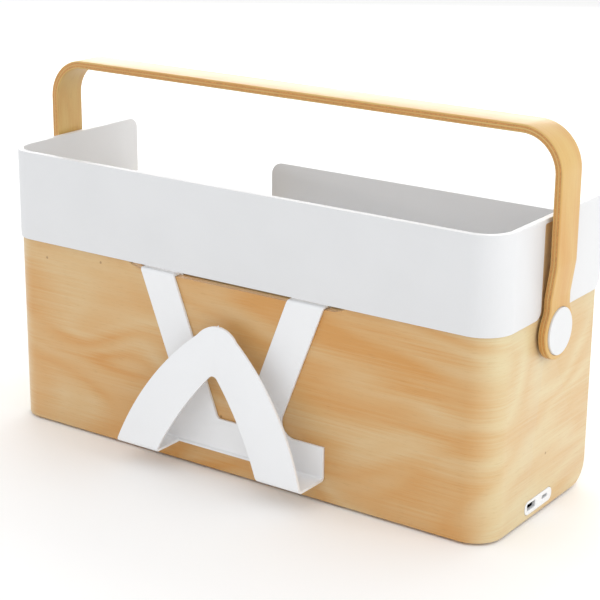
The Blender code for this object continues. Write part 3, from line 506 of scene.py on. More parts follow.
class Shader:
    """A material's node tree, built from left to right."""

    def __init__(self, name):
        self.material = bpy.data.materials.new(name)
        self.material.use_nodes = True
        self.tree = self.material.node_tree
        self.principled = self.tree.nodes["Principled BSDF"]

    def node(self, kind, values=(), **settings):
        return add_node(self.tree, kind, values, **settings)

    def math(self, operation, first, second=0.0, third=0.0):
        return self.node("ShaderNodeMath", {0: first, 1: second, 2: third}, operation=operation).outputs[0]

    def mix(self, share, first, second):
        values = {0: share, 6: first, 7: second}
        for index in (6, 7):
            if not isinstance(values[index], bpy.types.NodeSocket):
                values[index] = (*values[index], 1)
        return self.node("ShaderNodeMix", values, data_type="RGBA").outputs[2]

    def ramp(self, value, low, high, start=0.0, end=1.0, kind="LINEAR"):
        values = {0: value, 1: low, 2: high, 3: start, 4: end}
        return self.node("ShaderNodeMapRange", values, interpolation_type=kind).outputs[0]

    def over(self, base, figure, low, high, colour, most=1.0):
        """Lays a colour over the base where the figure rises from low to high."""
        return self.mix(self.ramp(figure, low, high, 0.0, most), base, colour)

    def noise(self, vector, scale, detail=4.0, roughness=0.55, distortion=0.0):
        """Fractal noise, stretched when its scale is three numbers."""
        if isinstance(scale, tuple):
            vector = self.node("ShaderNodeMapping", {"Vector": vector, "Scale": scale}).outputs[0]
            scale = 1.0
        values = {"Vector": vector, "Scale": scale, "Detail": detail, "Roughness": roughness,
                  "Distortion": distortion}
        return self.node("ShaderNodeTexNoise", values).outputs["Fac"]

    def weighted(self, first, first_share, second, second_share):
        """The sum of two figures, each times its share."""
        return self.math("ADD", self.math("MULTIPLY", first, first_share),
                         self.math("MULTIPLY", second, second_share))

    def place(self):
        return self.node("ShaderNodeTexCoord").outputs["Object"]

    def finish(self, base, roughness, height, strength, distance, **constants):
        bump = self.node("ShaderNodeBump", {"Strength": strength, "Distance": distance, "Height": height})
        for key, value in (("Base Color", base), ("Roughness", roughness), ("Normal", bump.outputs[0])):
            connect(self.tree, value, self.principled.inputs[key])
        for key, value in constants.items():
            self.principled.inputs[key.replace("_", " ")].default_value = value
        return self.material


def veneer(shader, along, across, ply, tint, shaded_span):
    """Rotary-cut birch: contour figure, fine lines, short flecks and a few pin knots, run along the grain;
    over a given span of the sheet, painted shade pushes the colour towards the darker warm birch.
    """
    wood = bpy.context.scene.caddy_wood
    grain = shader.node("ShaderNodeCombineXYZ", {0: along, 1: across, 2: shader.math("MULTIPLY", ply, 0.61)})
    grain = grain.outputs[0]
    lines = shader.noise(grain, (8, 520, 10), 7.0, 0.68)
    broad = shader.noise(grain, (5, 60, 4), 5.0, 0.62, 0.4)
    drift = shader.noise(grain, (4.5, 11, 1), 2.0, 0.42, 0.6)
    rings = shader.math("MULTIPLY_ADD", drift, 15.0, shader.math("MULTIPLY", lines, 0.9))
    rings = shader.math("PINGPONG", rings, 1.0)
    cloud = shader.noise(grain, (5, 11, 2), 2.5, 0.5, 0.3)
    flecks = shader.noise(grain, (110, 1300, 50), 3.0, 0.6)
    share = shader.ramp(cloud, 0.36, 0.66, 0.0, 0.30)
    for figure, low, high, least, most in (
        (rings, 0.1, 0.9, -0.06, 0.19), (broad, 0.36, 0.66, -0.04, 0.08), (lines, 0.32, 0.68, -0.08, 0.12),
    ):
        share = shader.math("ADD", share, shader.ramp(figure, low, high, least, most))
    # Painted shade: along the given span the colour is pushed towards the darker warm birch, fading in and
    # out at both ends.
    if shaded_span:
        rise = shader.ramp(along, shaded_span[0] - FRONT_SHADE_FADE, shaded_span[0], kind="SMOOTHSTEP")
        fall = shader.ramp(along, shaded_span[1], shaded_span[1] + FRONT_SHADE_FADE, 1.0, 0.0, "SMOOTHSTEP")
        share = shader.math("MULTIPLY_ADD", shader.math("MULTIPLY", rise, fall), wood.front_painted_shade, share)
    share = shader.node("ShaderNodeClamp", {0: share}).outputs[0]
    face = shader.mix(share, tinted(wood.pale, tint), tinted(wood.warm, tint))
    face = shader.over(face, flecks, 0.56, 0.72, tinted(wood.warm, 0.55), 0.20)
    cells = shader.node("ShaderNodeTexVoronoi", {"Vector": grain, "Scale": 17.0}, voronoi_dimensions="2D")
    cells = cells.outputs
    chosen = shader.ramp(shader.node("ShaderNodeSeparateColor", {0: cells["Color"]}).outputs[0], 0.86, 0.87)
    knot = shader.math("MULTIPLY", chosen, shader.ramp(cells["Distance"], 0.012, 0.022, 0.6, 0.0))
    return shader.mix(knot, face, wood.glue), lines, flecks


def plywood(name, layer, tint, shaded_span=()):
    """Lacquered birch plywood that reads its plies, grain and figure from the sheet attribute."""
    wood = bpy.context.scene.caddy_wood
    shader = Shader(name)
    sheet = shader.node("ShaderNodeAttribute", attribute_name="sheet").outputs["Vector"]
    split = shader.node("ShaderNodeSeparateXYZ", {0: sheet}).outputs
    along, across, depth = split[0], split[1], split[2]
    waver = shader.noise(sheet, 70.0, 3.0)
    deep = shader.math("MULTIPLY_ADD", waver, layer * 0.3, shader.math("SUBTRACT", depth, layer * 0.15))
    plies = shader.math("MINIMUM", shader.math("MAXIMUM", shader.math("DIVIDE", deep, layer), 0.5), 4.5)
    ply = shader.math("FLOOR", plies)
    glue = shader.ramp(shader.math("PINGPONG", shader.math("FRACT", plies), 0.5), 0.03, 0.12, 1.0, 0.0)
    inside = shader.ramp(depth, layer * 0.62, layer * 0.8)
    face, lines, flecks = veneer(shader, along, across, ply, tint, shaded_span)
    speckle = shader.noise(sheet, (900, 900, 900), 4.0, 0.65)
    cross = tinted(wood.cross, tint)
    end_grain = shader.over(cross, speckle, 0.35, 0.7, tinted(cross, 1.5))
    edge = shader.mix(shader.math("PINGPONG", ply, 1.0), face, end_grain)
    edge = shader.mix(shader.math("MULTIPLY", glue, 0.6), edge, wood.glue)
    paint = shader.mix(inside, face, edge)
    roughness = shader.ramp(lines, 0.3, 0.7, 0.34, 0.47)
    relief = shader.weighted(lines, 0.6, flecks, 0.4)
    return shader.finish(paint, roughness, relief, 0.10, 0.0003, Coat_Weight=0.15, Coat_Roughness=0.3,
                         Specular_IOR_Level=0.45)


def powder_coat(name, tint):
    """Matt powder coat: a faint orange peel and a slightly uneven white."""
    coat = bpy.context.scene.caddy_coat
    shader = Shader(name)
    place = shader.place()
    peel = shader.noise(place, 1500.0, 3.0, 0.5)
    waves = shader.noise(place, 260.0, 2.0, 0.5)
    cloud = shader.noise(place, 22.0, 3.0, 0.5)
    white = tinted(coat.white, tint)
    base = shader.over(white, cloud, 0.3, 0.7, tinted(white, 0.975))
    base = shader.over(base, peel, 0.55, 0.8, tinted(white, 0.8), 0.10)
    roughness = shader.ramp(waves, 0.3, 0.7, coat.roughness - 0.04, coat.roughness + 0.05)
    relief = shader.weighted(peel, 0.6, waves, 0.8)
    return shader.finish(base, roughness, relief, 0.16, 0.00025, Specular_IOR_Level=0.5)


def metal(name, tint, stretch, low, high):
    shader = Shader(name)
    lines = shader.noise(shader.place(), stretch, 5.0, 0.6)
    spots = shader.noise(shader.place(), 700.0, 4.0, 0.6)
    base = shader.over(tint, lines, 0.3, 0.7, tinted(tint, 0.72))
    base = shader.over(base, spots, 0.55, 0.8, tinted(tint, 0.55), 0.35)
    roughness = shader.ramp(lines, 0.3, 0.7, low, high)
    return shader.finish(base, roughness, lines, 0.08, 0.0002, Metallic=1.0)


def moulded(name, dark, light, low, high, grain):
    shader = Shader(name)
    spark = shader.noise(shader.place(), grain, 4.0, 0.6)
    cloud = shader.noise(shader.place(), 60.0, 3.0, 0.5)
    base = shader.over(dark, spark, 0.3, 0.75, light)
    base = shader.over(base, cloud, 0.4, 0.75, tinted(light, 1.5), 0.4)
    return shader.finish(base, shader.ramp(cloud, 0.3, 0.7, low, high), spark, 0.22, 0.0003)


def felt(name):
    shader = Shader(name)
    place = shader.place()
    curl = shader.noise(place, 900.0, 6.0, 0.7, 2.5)
    clump = shader.noise(place, 170.0, 3.0, 0.6, 1.0)
    base = shader.over((0.10, 0.10, 0.11), curl, 0.3, 0.7, (0.26, 0.26, 0.27))
    base = shader.over(base, clump, 0.35, 0.7, (0.14, 0.14, 0.15), 0.5)
    relief = shader.math("ADD", curl, shader.math("MULTIPLY", clump, 0.7))
    return shader.finish(base, 0.95, relief, 0.7, 0.0008, Sheen_Weight=0.25, Sheen_Roughness=0.5)


def circuit(name):
    shader = Shader(name)
    place = shader.place()
    traces = shader.node("ShaderNodeTexVoronoi", {"Vector": place, "Scale": 420.0}, distance="MANHATTAN",
                         feature="F1").outputs["Distance"]
    weave = shader.noise(place, 1200.0, 3.0)
    base = shader.over((0.015, 0.10, 0.045), traces, 0.35, 0.40, (0.03, 0.20, 0.09))
    base = shader.over(base, weave, 0.5, 0.8, (0.02, 0.07, 0.04), 0.3)
    return shader.finish(base, 0.35, traces, 0.1, 0.0001)


def front_leaf():
    """Where the front starts and ends along the case's bent sheet: the span that gets painted shade."""
    corner = bpy.context.scene.caddy_case.corner
    start = CASE_HIGH.y - CASE_LOW.y - corner + corner * math.pi / 2
    return start, start + CASE_HIGH.x - CASE_LOW.x - 2 * corner


def material(name):
    """Makes a named finish once and then shares it."""
    if name in bpy.data.materials:
        return bpy.data.materials[name]
    case, handle = bpy.context.scene.caddy_case, bpy.context.scene.caddy_handle
    makers = {
        # The case's birch carries painted shade on its front span.
        "birch_case": (plywood, case.wall / 5, (1, 1, 1), front_leaf()),
        "birch_handle": (plywood, handle.thick / 5, (0.95, 0.76, 0.44)),
        "birch_lining": (plywood, 2 * MM, (1.12, 0.98, 0.88)),
        "birch_boards": (plywood, 6 * MM / 5, (0.95, 0.92, 0.84)),
        "powder_white": (powder_coat, 1.0),
        "powder_bright": (powder_coat, 1.15),
        "zinc_plated": (metal, (0.62, 0.61, 0.58), (300, 300, 2200), 0.28, 0.42),
        "socket_shell": (metal, (0.028, 0.028, 0.03), (120, 1500, 1500), 0.4, 0.55),
        "contact_gold": (metal, (0.83, 0.60, 0.24), (200, 200, 200), 0.2, 0.3),
        "moulded_black": (moulded, (0.018, 0.018, 0.020), (0.035, 0.035, 0.038), 0.42, 0.55, 1600.0),
        "soft_rubber": (moulded, (0.016, 0.016, 0.016), (0.03, 0.03, 0.03), 0.72, 0.88, 900.0),
        "grey_felt": (felt,),
        "circuit_green": (circuit,),
    }
    maker, *values = makers[name]
    return maker(name, *values)


# Case

def u_plan(half, front, back, wall, corner):
    """Plan outline of a wall along the front and both sides, and the path of its outer face."""
    def bent(half, front, corner):
        corners = [(-half, back), (-half, front), (half, front), (half, back)]
        return round_corners(corners, [0, corner, corner, 0], steps=20)

    outer = bent(half, front, corner)
    return outer + bent(half - wall, front + wall, corner - wall)[::-1], outer


def build_case(sizes):
    half, front, back = CASE_HIGH.x, CASE_LOW.y, CASE_HIGH.y
    low, top = CASE_LOW.z, CASE_HIGH.z
    outline, path = u_plan(half, front, back, sizes.wall, sizes.corner)
    shell = plate("case", [outline], "XY", (low + top) / 2, top - low)
    side = round_corners(
        rectangle((front - OVER, low), (back, top)), [0, sizes.foot_corner, 0, 0]
    )
    combine(shell, plate("case_side", [side], "YZ", 0, 2 * (half + OVER)), "INTERSECT")
    left, right = sizes.notch_centre - sizes.notch_half, sizes.notch_centre + sizes.notch_half
    shoulder, dip = top - sizes.notch_depth * NOTCH_SHOULDER, top - sizes.notch_depth
    run, ramp = sizes.notch_end, sizes.notch_end * NOTCH_RAMP
    notch = [(left - ramp, top + OVER), (left + ramp, shoulder), (left + run, dip),
             (right - run, dip), (right - ramp, shoulder), (right + ramp, top + OVER)]
    notch = round_corners(notch, [0, run / 2, run / 2, run / 2, run / 2, 0], steps=6)
    combine(shell, plate("notch", [notch], "XZ", front + sizes.wall / 2, sizes.wall + 2 * OVER))
    radius = (PLATE_HIGH.z - PLATE_LOW.z) * PLATE_ROUND + GAP
    hole = round_corners(
        rectangle((PLATE_LOW.y - GAP, PLATE_LOW.z - GAP), (PLATE_HIGH.y + GAP, PLATE_HIGH.z + GAP)),
        radius, steps=12,
    )
    combine(shell, plate("hub_hole", [hole], "YZ", half - sizes.wall / 2, sizes.wall + 2 * OVER))
    for sign, hand in SIDES:
        centre = (sign * (half - sizes.wall / 2), PIVOT_Y, PIVOT_Z)
        combine(shell, cylinder(f"bolt_hole_{hand}", centre, (1, 0, 0), BOLT_HOLE, sizes.wall + 2 * OVER))
    bevel(shell, sizes.edge, 3)
    bake_modifiers(shell)
    sheet_from_path(shell, path, [0, 1], 2, 0.0)
    finish_piece(shell, "plywood_case", "birch_case", "birch_ply", "root", "case_shell")


def slot_shape(half, top, bottom, flare, radius):
    """A slot open at the bottom, whose bottom corners are flared by a quarter circle."""
    left, right = PIVOT_Y - half, PIVOT_Y + half
    points = [(left - flare, bottom - OVER)]
    points += arc_points((left - flare, bottom + flare), flare, -90, 0, 14)
    points += round_corners([(left, bottom + flare), (left, top), (right, top), (right, bottom)],
                            [0, radius, radius, 0], steps=10)[1:-1]
    points += arc_points((right + flare, bottom + flare), flare, 180, 270, 14)
    points.append((right + flare, bottom - OVER))
    return points


def build_tray(sizes):
    half, front, back = TRAY_HIGH.x, TRAY_LOW.y, TRAY_HIGH.y
    low, top = TRAY_LOW.z, TRAY_HIGH.z
    corner = bpy.context.scene.caddy_case.corner + sizes.proud
    outline = u_plan(half, front, back, sizes.wall, corner)[0]
    tray = plate("tray", [outline], "XY", (low + top) / 2, top - low)
    side = round_corners(
        rectangle((front - 5 * OVER, low), (back, top)), [0, sizes.back_corner, sizes.back_corner, 0]
    )
    combine(tray, plate("tray_side", [side], "YZ", 0, 2 * (half + OVER)), "INTERSECT")
    bevel(tray, sizes.edge, 5)
    bake_modifiers(tray)
    depth = sizes.wall - sizes.slot_skin
    shape = slot_shape(sizes.slot_half, top - sizes.slot_margin, low, sizes.slot_flare, sizes.slot_radius)
    inside = half - sizes.wall
    for sign, hand in SIDES:
        middle = sign * (half - depth / 2 + OVER / 2)
        combine(tray, plate(f"slot_{hand}", [shape], "YZ", middle, depth + OVER))
        for end in ENDS:
            block_low, block_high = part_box(f"mounting_block_{end}_{hand}")
            ends = sorted((sign * (inside - sizes.tab), sign * (inside + sizes.wall / 2 - GAP)))
            tab_low = (ends[0], block_low.y, low + GAP)
            tab_high = (ends[1], block_high.y, low + GAP + sizes.tab_thick)
            tab = box(f"tab_{end}_{hand}", tab_low, tab_high)
            combine(tray, tab, "UNION")
            centre = (sign * (abs(block_low.x + block_high.x) / 2), (block_low.y + block_high.y) / 2, low)
            combine(tray, cylinder(f"tab_hole_{end}_{hand}", centre, (0, 0, 1), TAB_HOLE, TAB_DRILL, 24))
    bevel(tray, CUT_EDGE, 2, 50)
    bake_modifiers(tray)
    finish_piece(tray, "tray_rim", "powder_white", "white_coat", "root", "tray_shell")
    for _sign, hand in SIDES:
        finish_copy(f"slot_lining_{hand}", f"slot_birch_{hand}", "birch_lining", "birch_ply", 0.2,
                    sheet=(2, 0))


# Handle

def handle_path(sizes):
    """Middle line of the strip from the left end's foot to the right one's, in X and Z."""
    middle = CAP_LOW.x + sizes.cap_recess - GAP - sizes.thick / 2
    low = PIVOT_Z - sizes.end_radius
    top = HANDLE_HIGH.z - sizes.thick / 2
    right = [
        (middle, low),
        (middle, FLOOR_Z + sizes.joggle_low),
        (middle + sizes.joggle, FLOOR_Z + sizes.joggle_high),
        (middle + sizes.joggle, top),
    ]
    corners = [(-x, z) for x, z in right] + right[::-1]
    bends = [0, sizes.joggle_radius, sizes.joggle_radius, sizes.bend]
    return [Vector(point) for point in round_corners(corners, bends + bends[::-1], closed=False, steps=22)]


def half_width(sizes, height):
    """Half the strip's width at a height above the pivot: round end, neck fillet, straight strip."""
    half, radius, fillet = sizes.width / 2, sizes.end_radius, sizes.neck
    centre_y = half + fillet
    rise = math.sqrt((radius + fillet) ** 2 - centre_y ** 2)
    meet = radius * rise / (radius + fillet)
    if height <= meet:
        return math.sqrt(max(radius ** 2 - height ** 2, 0))
    if height < rise:
        return centre_y - math.sqrt(max(fillet ** 2 - (rise - height) ** 2, 0))
    return half


def handle_stations(sizes):
    """Points along the strip, close together where its width changes."""
    path = handle_path(sizes)
    low = path[0].y
    turns = 40
    ends = [low + sizes.end_radius * (1 - math.cos(math.pi * k / turns)) for k in range(1, turns)]
    ends += [PIVOT_Z + sizes.end_radius + k * STATION_STEP for k in range(6)]
    x = path[0].x
    left = [Vector((x, z)) for z in ends if z < path[1].y - MM]
    return [path[0]] + left + path[1:-1] + [Vector((-p.x, p.y)) for p in reversed(left)] + [path[-1]]


def section(half, thick, edge):
    """A rounded rectangle, half wide each way and thick deep, as (across, out) points."""
    edge = min(edge, half * 0.98, thick / 2 * 0.98)
    corners = [(half, thick / 2), (-half, thick / 2), (-half, -thick / 2), (half, -thick / 2)]
    return round_corners(corners, edge, steps=5)


def build_handle(sizes):
    stations = handle_stations(sizes)
    sides = path_sides(stations)
    shape = bmesh.new()
    rings = []
    run = 0.0
    for index, (point, side) in enumerate(zip(stations, sides)):
        run += (point - stations[index - 1]).length if index else 0
        rise = max(point.y - PIVOT_Z, -sizes.end_radius)
        end = stations[0] if index < len(stations) / 2 else stations[-1]
        near_end = min(run, point.y - end.y)
        half = half_width(sizes, rise) if abs(point.x) > stations[0].x * -0.9 else sizes.width / 2
        tip = min(max(near_end / sizes.edge, 0.0), 1.0)
        thick = sizes.thick - 2 * sizes.edge * (1 - math.sqrt(1 - (1 - tip) ** 2))
        half = max(half, 0.25 * MM)
        ring = []
        for across, out in section(half, thick, sizes.edge):
            place = point + side * out
            ring.append(shape.verts.new((place.x, PIVOT_Y + across, place.y)))
        rings.append(ring)
    skin(shape, rings)
    shape.faces.new(rings[0][::-1])
    shape.faces.new(rings[-1])
    bmesh.ops.recalc_face_normals(shape, faces=shape.faces)
    strip = mesh_object("handle_strip", shape)
    face = CAP_LOW.x + sizes.cap_recess - GAP
    for sign, hand in SIDES:
        for name, radius, depth in (("cap_seat", CAP_SEAT, sizes.cap_recess),
                                    ("head_pocket", *HEAD_POCKET),
                                    ("bolt_bore", BOLT_HOLE, sizes.thick + OVER)):
            centre = (sign * (face + (OVER - depth) / 2), PIVOT_Y, PIVOT_Z)
            combine(strip, cylinder(f"{name}_{hand}", centre, (1, 0, 0), radius, depth + OVER, 64))
    bake_modifiers(strip)
    outer = [tuple(point + side * sizes.thick / 2) for point, side in zip(stations, sides)]
    sheet_from_path(strip, outer, [0, 2], 1, 0.0)
    finish_piece(strip, "handle_strip", "birch_handle", "birch_ply", "handle", "handle")


def build_caps():
    for sign, hand in SIDES:
        low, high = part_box(f"pivot_cap_{hand}")
        radius = (high.z - low.z) / 2
        thick = high.x - low.x
        seat = Vector((low.x if sign > 0 else high.x, (low.y + high.y) / 2, (low.z + high.z) / 2))
        edge, chamfer, dip = 0.7 * MM, 0.3 * MM, 0.08 * MM
        rim = [(radius - edge + edge * math.cos(turn), thick - edge + edge * math.sin(turn))
               for turn in [math.radians(15 * k) for k in range(7)]]
        dish = [(radius * 0.80, thick), (radius * 0.4, thick - dip * 0.75), (0, thick - dip)]
        profile = [(0, 0), (radius - chamfer, 0), (radius, chamfer)] + rim + dish
        cap = lathe(f"cap_{hand}", profile, seat, (sign, 0, 0))
        smooth_shade(cap, 40)
        finish_piece(cap, f"pivot_disc_{hand}", "powder_white", "white_coat", "handle",
                     f"pivot_cap_{hand}")


# Clip

def clip_outline(sizes):
    """The clip seen from its side: lip, bridge, back, shelf and leaning front."""
    back = CASE_LOW.y - GAP - sizes.sheet / 2
    front = CLIP_LOW.y + sizes.sheet / 2
    bridge = CLIP_HIGH.z - sizes.sheet / 2
    lip = CLIP_HIGH.y - sizes.sheet / 2
    shelf = FLOOR_Z + sizes.shelf
    corners = [
        (lip, bridge - LIP_DROP), (lip, bridge), (back, bridge), (back, shelf), (front, shelf),
        (front + sizes.lean, FLOOR_Z + sizes.top + OVER),
    ]
    bends = [0, sizes.hook_bend, sizes.hook_bend, sizes.bend, sizes.bend, 0]
    return strip_outline(corners, bends, sizes.sheet)


def build_clip(sizes):
    half = CLIP_HIGH.x
    clip = plate("clip", [clip_outline(sizes)], "YZ", 0, 2 * half)
    case = bpy.context.scene.caddy_case
    depth = CASE_LOW.y - CLIP_LOW.y
    split = CASE_LOW.y - depth / 3
    inside = CASE_LOW.y + case.wall
    case_height = CASE_HIGH.z - CASE_LOW.z
    above, bar = case_height + 4 * OVER, sizes.bar_top

    def strap_edge(top_x, level):
        return top_x - (case_height - level) * STRAP_SLANT

    def rear(name, corners, radii):
        shape = [(x, FLOOR_Z + z) for x, z in round_corners(corners, radii, steps=12)]
        end = inside + depth / 2
        combine(clip, plate(name, [shape], "XZ", (split + end) / 2, end - split))

    def front(name, corners):
        shape = [(x, FLOOR_Z + z) for x, z in corners]
        end = CLIP_LOW.y - depth
        combine(clip, plate(name, [shape], "XZ", (split + end) / 2, split - end))

    inner_top, inner_low = strap_edge(sizes.strap_inner, above), strap_edge(sizes.strap_inner, bar)
    outer_top, outer_low = strap_edge(sizes.strap_outer, above), strap_edge(sizes.strap_outer, bar)
    small, large = sizes.apex / 6, sizes.apex / 2
    rear("between_straps", [(-inner_low, bar), (inner_low, bar), (inner_top, above), (-inner_top, above)],
         [small, small, 0, 0])
    past = half + 2 * OVER
    for sign, hand in SIDES:
        corners = [(past, bar), (past, above), (outer_top, above), (outer_low, bar)]
        rear(f"outside_strap_{hand}", [(sign * x, z) for x, z in corners], [0, 0, 0, large])

    foot = (sizes.inner_half, sizes.shelf)
    low = sizes.shelf - 3 * sizes.sheet
    right_leg = bulged(foot, (ARCH_RADIUS * 0.8, sizes.arch - ARCH_RADIUS * 0.4), -LEG_BULGE_IN)
    arch = [(sizes.inner_half, low), foot] + right_leg
    arch += arc_points((0, sizes.arch - ARCH_RADIUS), ARCH_RADIUS, ARCH_START, 180 - ARCH_START, 16)
    arch += [(-x, z) for x, z in reversed(right_leg)]
    arch += [(-sizes.inner_half, sizes.shelf), (-sizes.inner_half, low)]
    front("arch", arch)
    shoulder = math.radians(SHOULDER)
    shoulder_point = (sizes.apex * math.cos(shoulder), sizes.top - sizes.apex * (1 - math.sin(shoulder)))
    outer_foot = (half, sizes.shelf + sizes.sheet / 2)
    for sign, hand in SIDES:
        edge = [outer_foot] + bulged(outer_foot, shoulder_point, -LEG_BULGE_OUT)
        edge += arc_points((0, sizes.top - sizes.apex), sizes.apex, SHOULDER, 90, 16)
        edge += [(0, sizes.top + 3 * OVER), (past, sizes.top + 3 * OVER), (past, outer_foot[1])]
        front(f"outside_leg_{hand}", [(sign * x, z) for x, z in edge])
    gap_low = (-sizes.inner_half, split - OVER, FLOOR_Z + low)
    gap_high = (sizes.inner_half, CASE_LOW.y - GAP - sizes.sheet - sizes.bend / 2,
                FLOOR_Z + sizes.shelf + sizes.sheet)
    combine(clip, box("shelf_gap", gap_low, gap_high))
    bevel(clip, sizes.edge, 3, 40)
    bake_modifiers(clip)
    finish_piece(clip, "clip_sheet", "powder_bright", "white_coat", "clip", "keyboard_clip")


# Fasteners, as copies of one screw on points

def screw_tree():
    """A node tree that puts one cross-recessed screw on each point, turned to its 'facing' attribute."""
    tree = bpy.data.node_groups.new("Screws on points", "GeometryNodeTree")
    tree.interface.new_socket("Geometry", in_out="INPUT", socket_type="NodeSocketGeometry")
    tree.interface.new_socket("Geometry", in_out="OUTPUT", socket_type="NodeSocketGeometry")
    sockets = {}
    for name, kind, default in (
        ("Head radius", "NodeSocketFloat", 3.2 * MM), ("Head height", "NodeSocketFloat", HEAD_HEIGHT),
        ("Shank radius", "NodeSocketFloat", 1.6 * MM), ("Shank length", "NodeSocketFloat", 10.4 * MM),
        ("Recess width", "NodeSocketFloat", 0.8 * MM), ("Sunk", "NodeSocketFloat", 0.0),
        ("Finish", "NodeSocketMaterial", None),
    ):
        socket = tree.interface.new_socket(name, in_out="INPUT", socket_type=kind)
        if default is not None:
            socket.default_value = default
        sockets[name] = socket.identifier
    group_in, group_out = tree.nodes.new("NodeGroupInput"), tree.nodes.new("NodeGroupOutput")

    def made(kind, values=(), **settings):
        return add_node(tree, kind, values, **settings).outputs[0]

    def calc(operation, first, second):
        return made("ShaderNodeMath", {0: first, 1: second}, operation=operation)

    def moved(geometry, height, turn=0.0):
        place = made("ShaderNodeCombineXYZ", {2: height})
        return made("GeometryNodeTransform", {0: geometry, "Translation": place, "Rotation": (0, 0, turn)})

    head_radius, head_height, shank_radius, shank_length, recess, sunk, finish = (
        group_in.outputs[name] for name in sockets
    )
    low_radius = made("ShaderNodeMix", {0: sunk, 2: head_radius, 3: shank_radius})
    domed_radius = calc("MULTIPLY", head_radius, 0.78)
    high_radius = made("ShaderNodeMix", {0: sunk, 2: domed_radius, 3: head_radius})
    cone = {"Vertices": 32, "Radius Top": high_radius, "Radius Bottom": low_radius, "Depth": head_height}
    drop = calc("MULTIPLY", calc("MULTIPLY", sunk, -1.0), head_height)
    head = moved(made("GeometryNodeMeshCone", cone), drop)
    wide, deep = calc("MULTIPLY", head_radius, 1.15), calc("MULTIPLY", head_height, 1.1)
    bar_size = made("ShaderNodeCombineXYZ", {0: wide, 1: recess, 2: deep})
    bar = made("GeometryNodeMeshCube", {"Size": bar_size})
    top = calc("ADD", drop, head_height)
    cut = add_node(tree, "GeometryNodeMeshBoolean", {"Mesh 1": head}, operation="DIFFERENCE")
    for turn in (0.0, math.pi / 2):
        tree.links.new(moved(bar, top, turn), cut.inputs["Mesh 2"])
    rod = {"Vertices": 20, "Radius": shank_radius, "Depth": shank_length}
    rod_drop = calc("MULTIPLY", sunk, 0.2 * MM)
    rod_middle = calc("SUBTRACT", calc("MULTIPLY", shank_length, -0.5), rod_drop)
    shank = moved(made("GeometryNodeMeshCylinder", rod), rod_middle)
    join = add_node(tree, "GeometryNodeJoinGeometry")
    for part in (cut.outputs[0], shank):
        tree.links.new(part, join.inputs[0])
    facing = made("GeometryNodeInputNamedAttribute", {"Name": "facing"}, data_type="FLOAT_VECTOR")
    aligned = made("FunctionNodeAlignRotationToVector", {"Vector": facing}, axis="Z")
    spin = made("GeometryNodeInputNamedAttribute", {"Name": "spin"}, data_type="FLOAT")
    spin_turn = made("ShaderNodeCombineXYZ", {2: spin})
    turned = made("FunctionNodeRotateRotation", {0: aligned, 1: spin_turn}, rotation_space="LOCAL")
    spread = {"Points": group_in.outputs["Geometry"], "Instance": join.outputs[0], "Rotation": turned}
    copies = made("GeometryNodeInstanceOnPoints", spread)
    painted = {0: made("GeometryNodeRealizeInstances", {0: copies}), "Material": finish}
    tree.links.new(made("GeometryNodeSetMaterial", painted), group_out.inputs[0])
    return tree, sockets


def screws_on(name, nodes, facing, sunk, tree, sockets):
    """One mesh of screws standing where the CAD's are."""
    places = []
    facing = Vector(facing)
    for node in nodes:
        low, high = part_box(node)
        middle = (low + high) / 2
        reach = Vector([(high[k] - low[k]) / 2 * facing[k] for k in range(3)])
        head_top = middle + reach
        places.append(head_top - facing * (0 if sunk else HEAD_HEIGHT))
    mesh = bpy.data.meshes.new(name)
    mesh.from_pydata(places, [], [])
    facings = mesh.attributes.new("facing", "FLOAT_VECTOR", "POINT")
    facings.data.foreach_set("vector", list(facing) * len(places))
    spins = mesh.attributes.new("spin", "FLOAT", "POINT")
    random = np.random.default_rng(7)
    spins.data.foreach_set("value", random.uniform(0, math.pi / 2, len(places)))
    obj = scene_object(name, mesh)
    modifier = obj.modifiers.new("Screws", "NODES")
    modifier.node_group = tree
    modifier[sockets["Sunk"]] = 1.0 if sunk else 0.0
    modifier[sockets["Head height"]] = SUNK_HEAD_HEIGHT if sunk else HEAD_HEIGHT
    modifier[sockets["Finish"]] = material("zinc_plated")
    bake_modifiers(obj)
    finish_piece(obj, name, "zinc_plated", "zinc_steel", "root", *nodes)


def build_fasteners():
    tree, sockets = screw_tree()
    tray = [f"tray_screw_{end}_{hand}" for end in ENDS for _sign, hand in SIDES]
    screws_on("tray_screws", tray, (0, 0, 1), False, tree, sockets)
    screws_on("panel_screws", [f"panel_screw_{k}" for k in range(1, 5)], (0, 1, 0), False, tree, sockets)
    screws_on("shelf_screws", [f"shelf_screw_{k}" for k in range(1, 5)], (0, 0, 1), True, tree, sockets)
    for _sign, hand in SIDES:
        for part, finish, slot, edge in (
            ("pivot_bolt", "zinc_plated", "zinc_steel", 0.0),
            ("pivot_washer", "zinc_plated", "zinc_steel", 0.15),
            ("pivot_nut", "zinc_plated", "zinc_steel", 0.3),
            ("pivot_spacer", "moulded_black", "black_plastic", 0.2),
        ):
            finish_copy(f"{part}_{hand}", f"{part}_{hand}_turned", finish, slot, edge)


# Inside, hub and feet

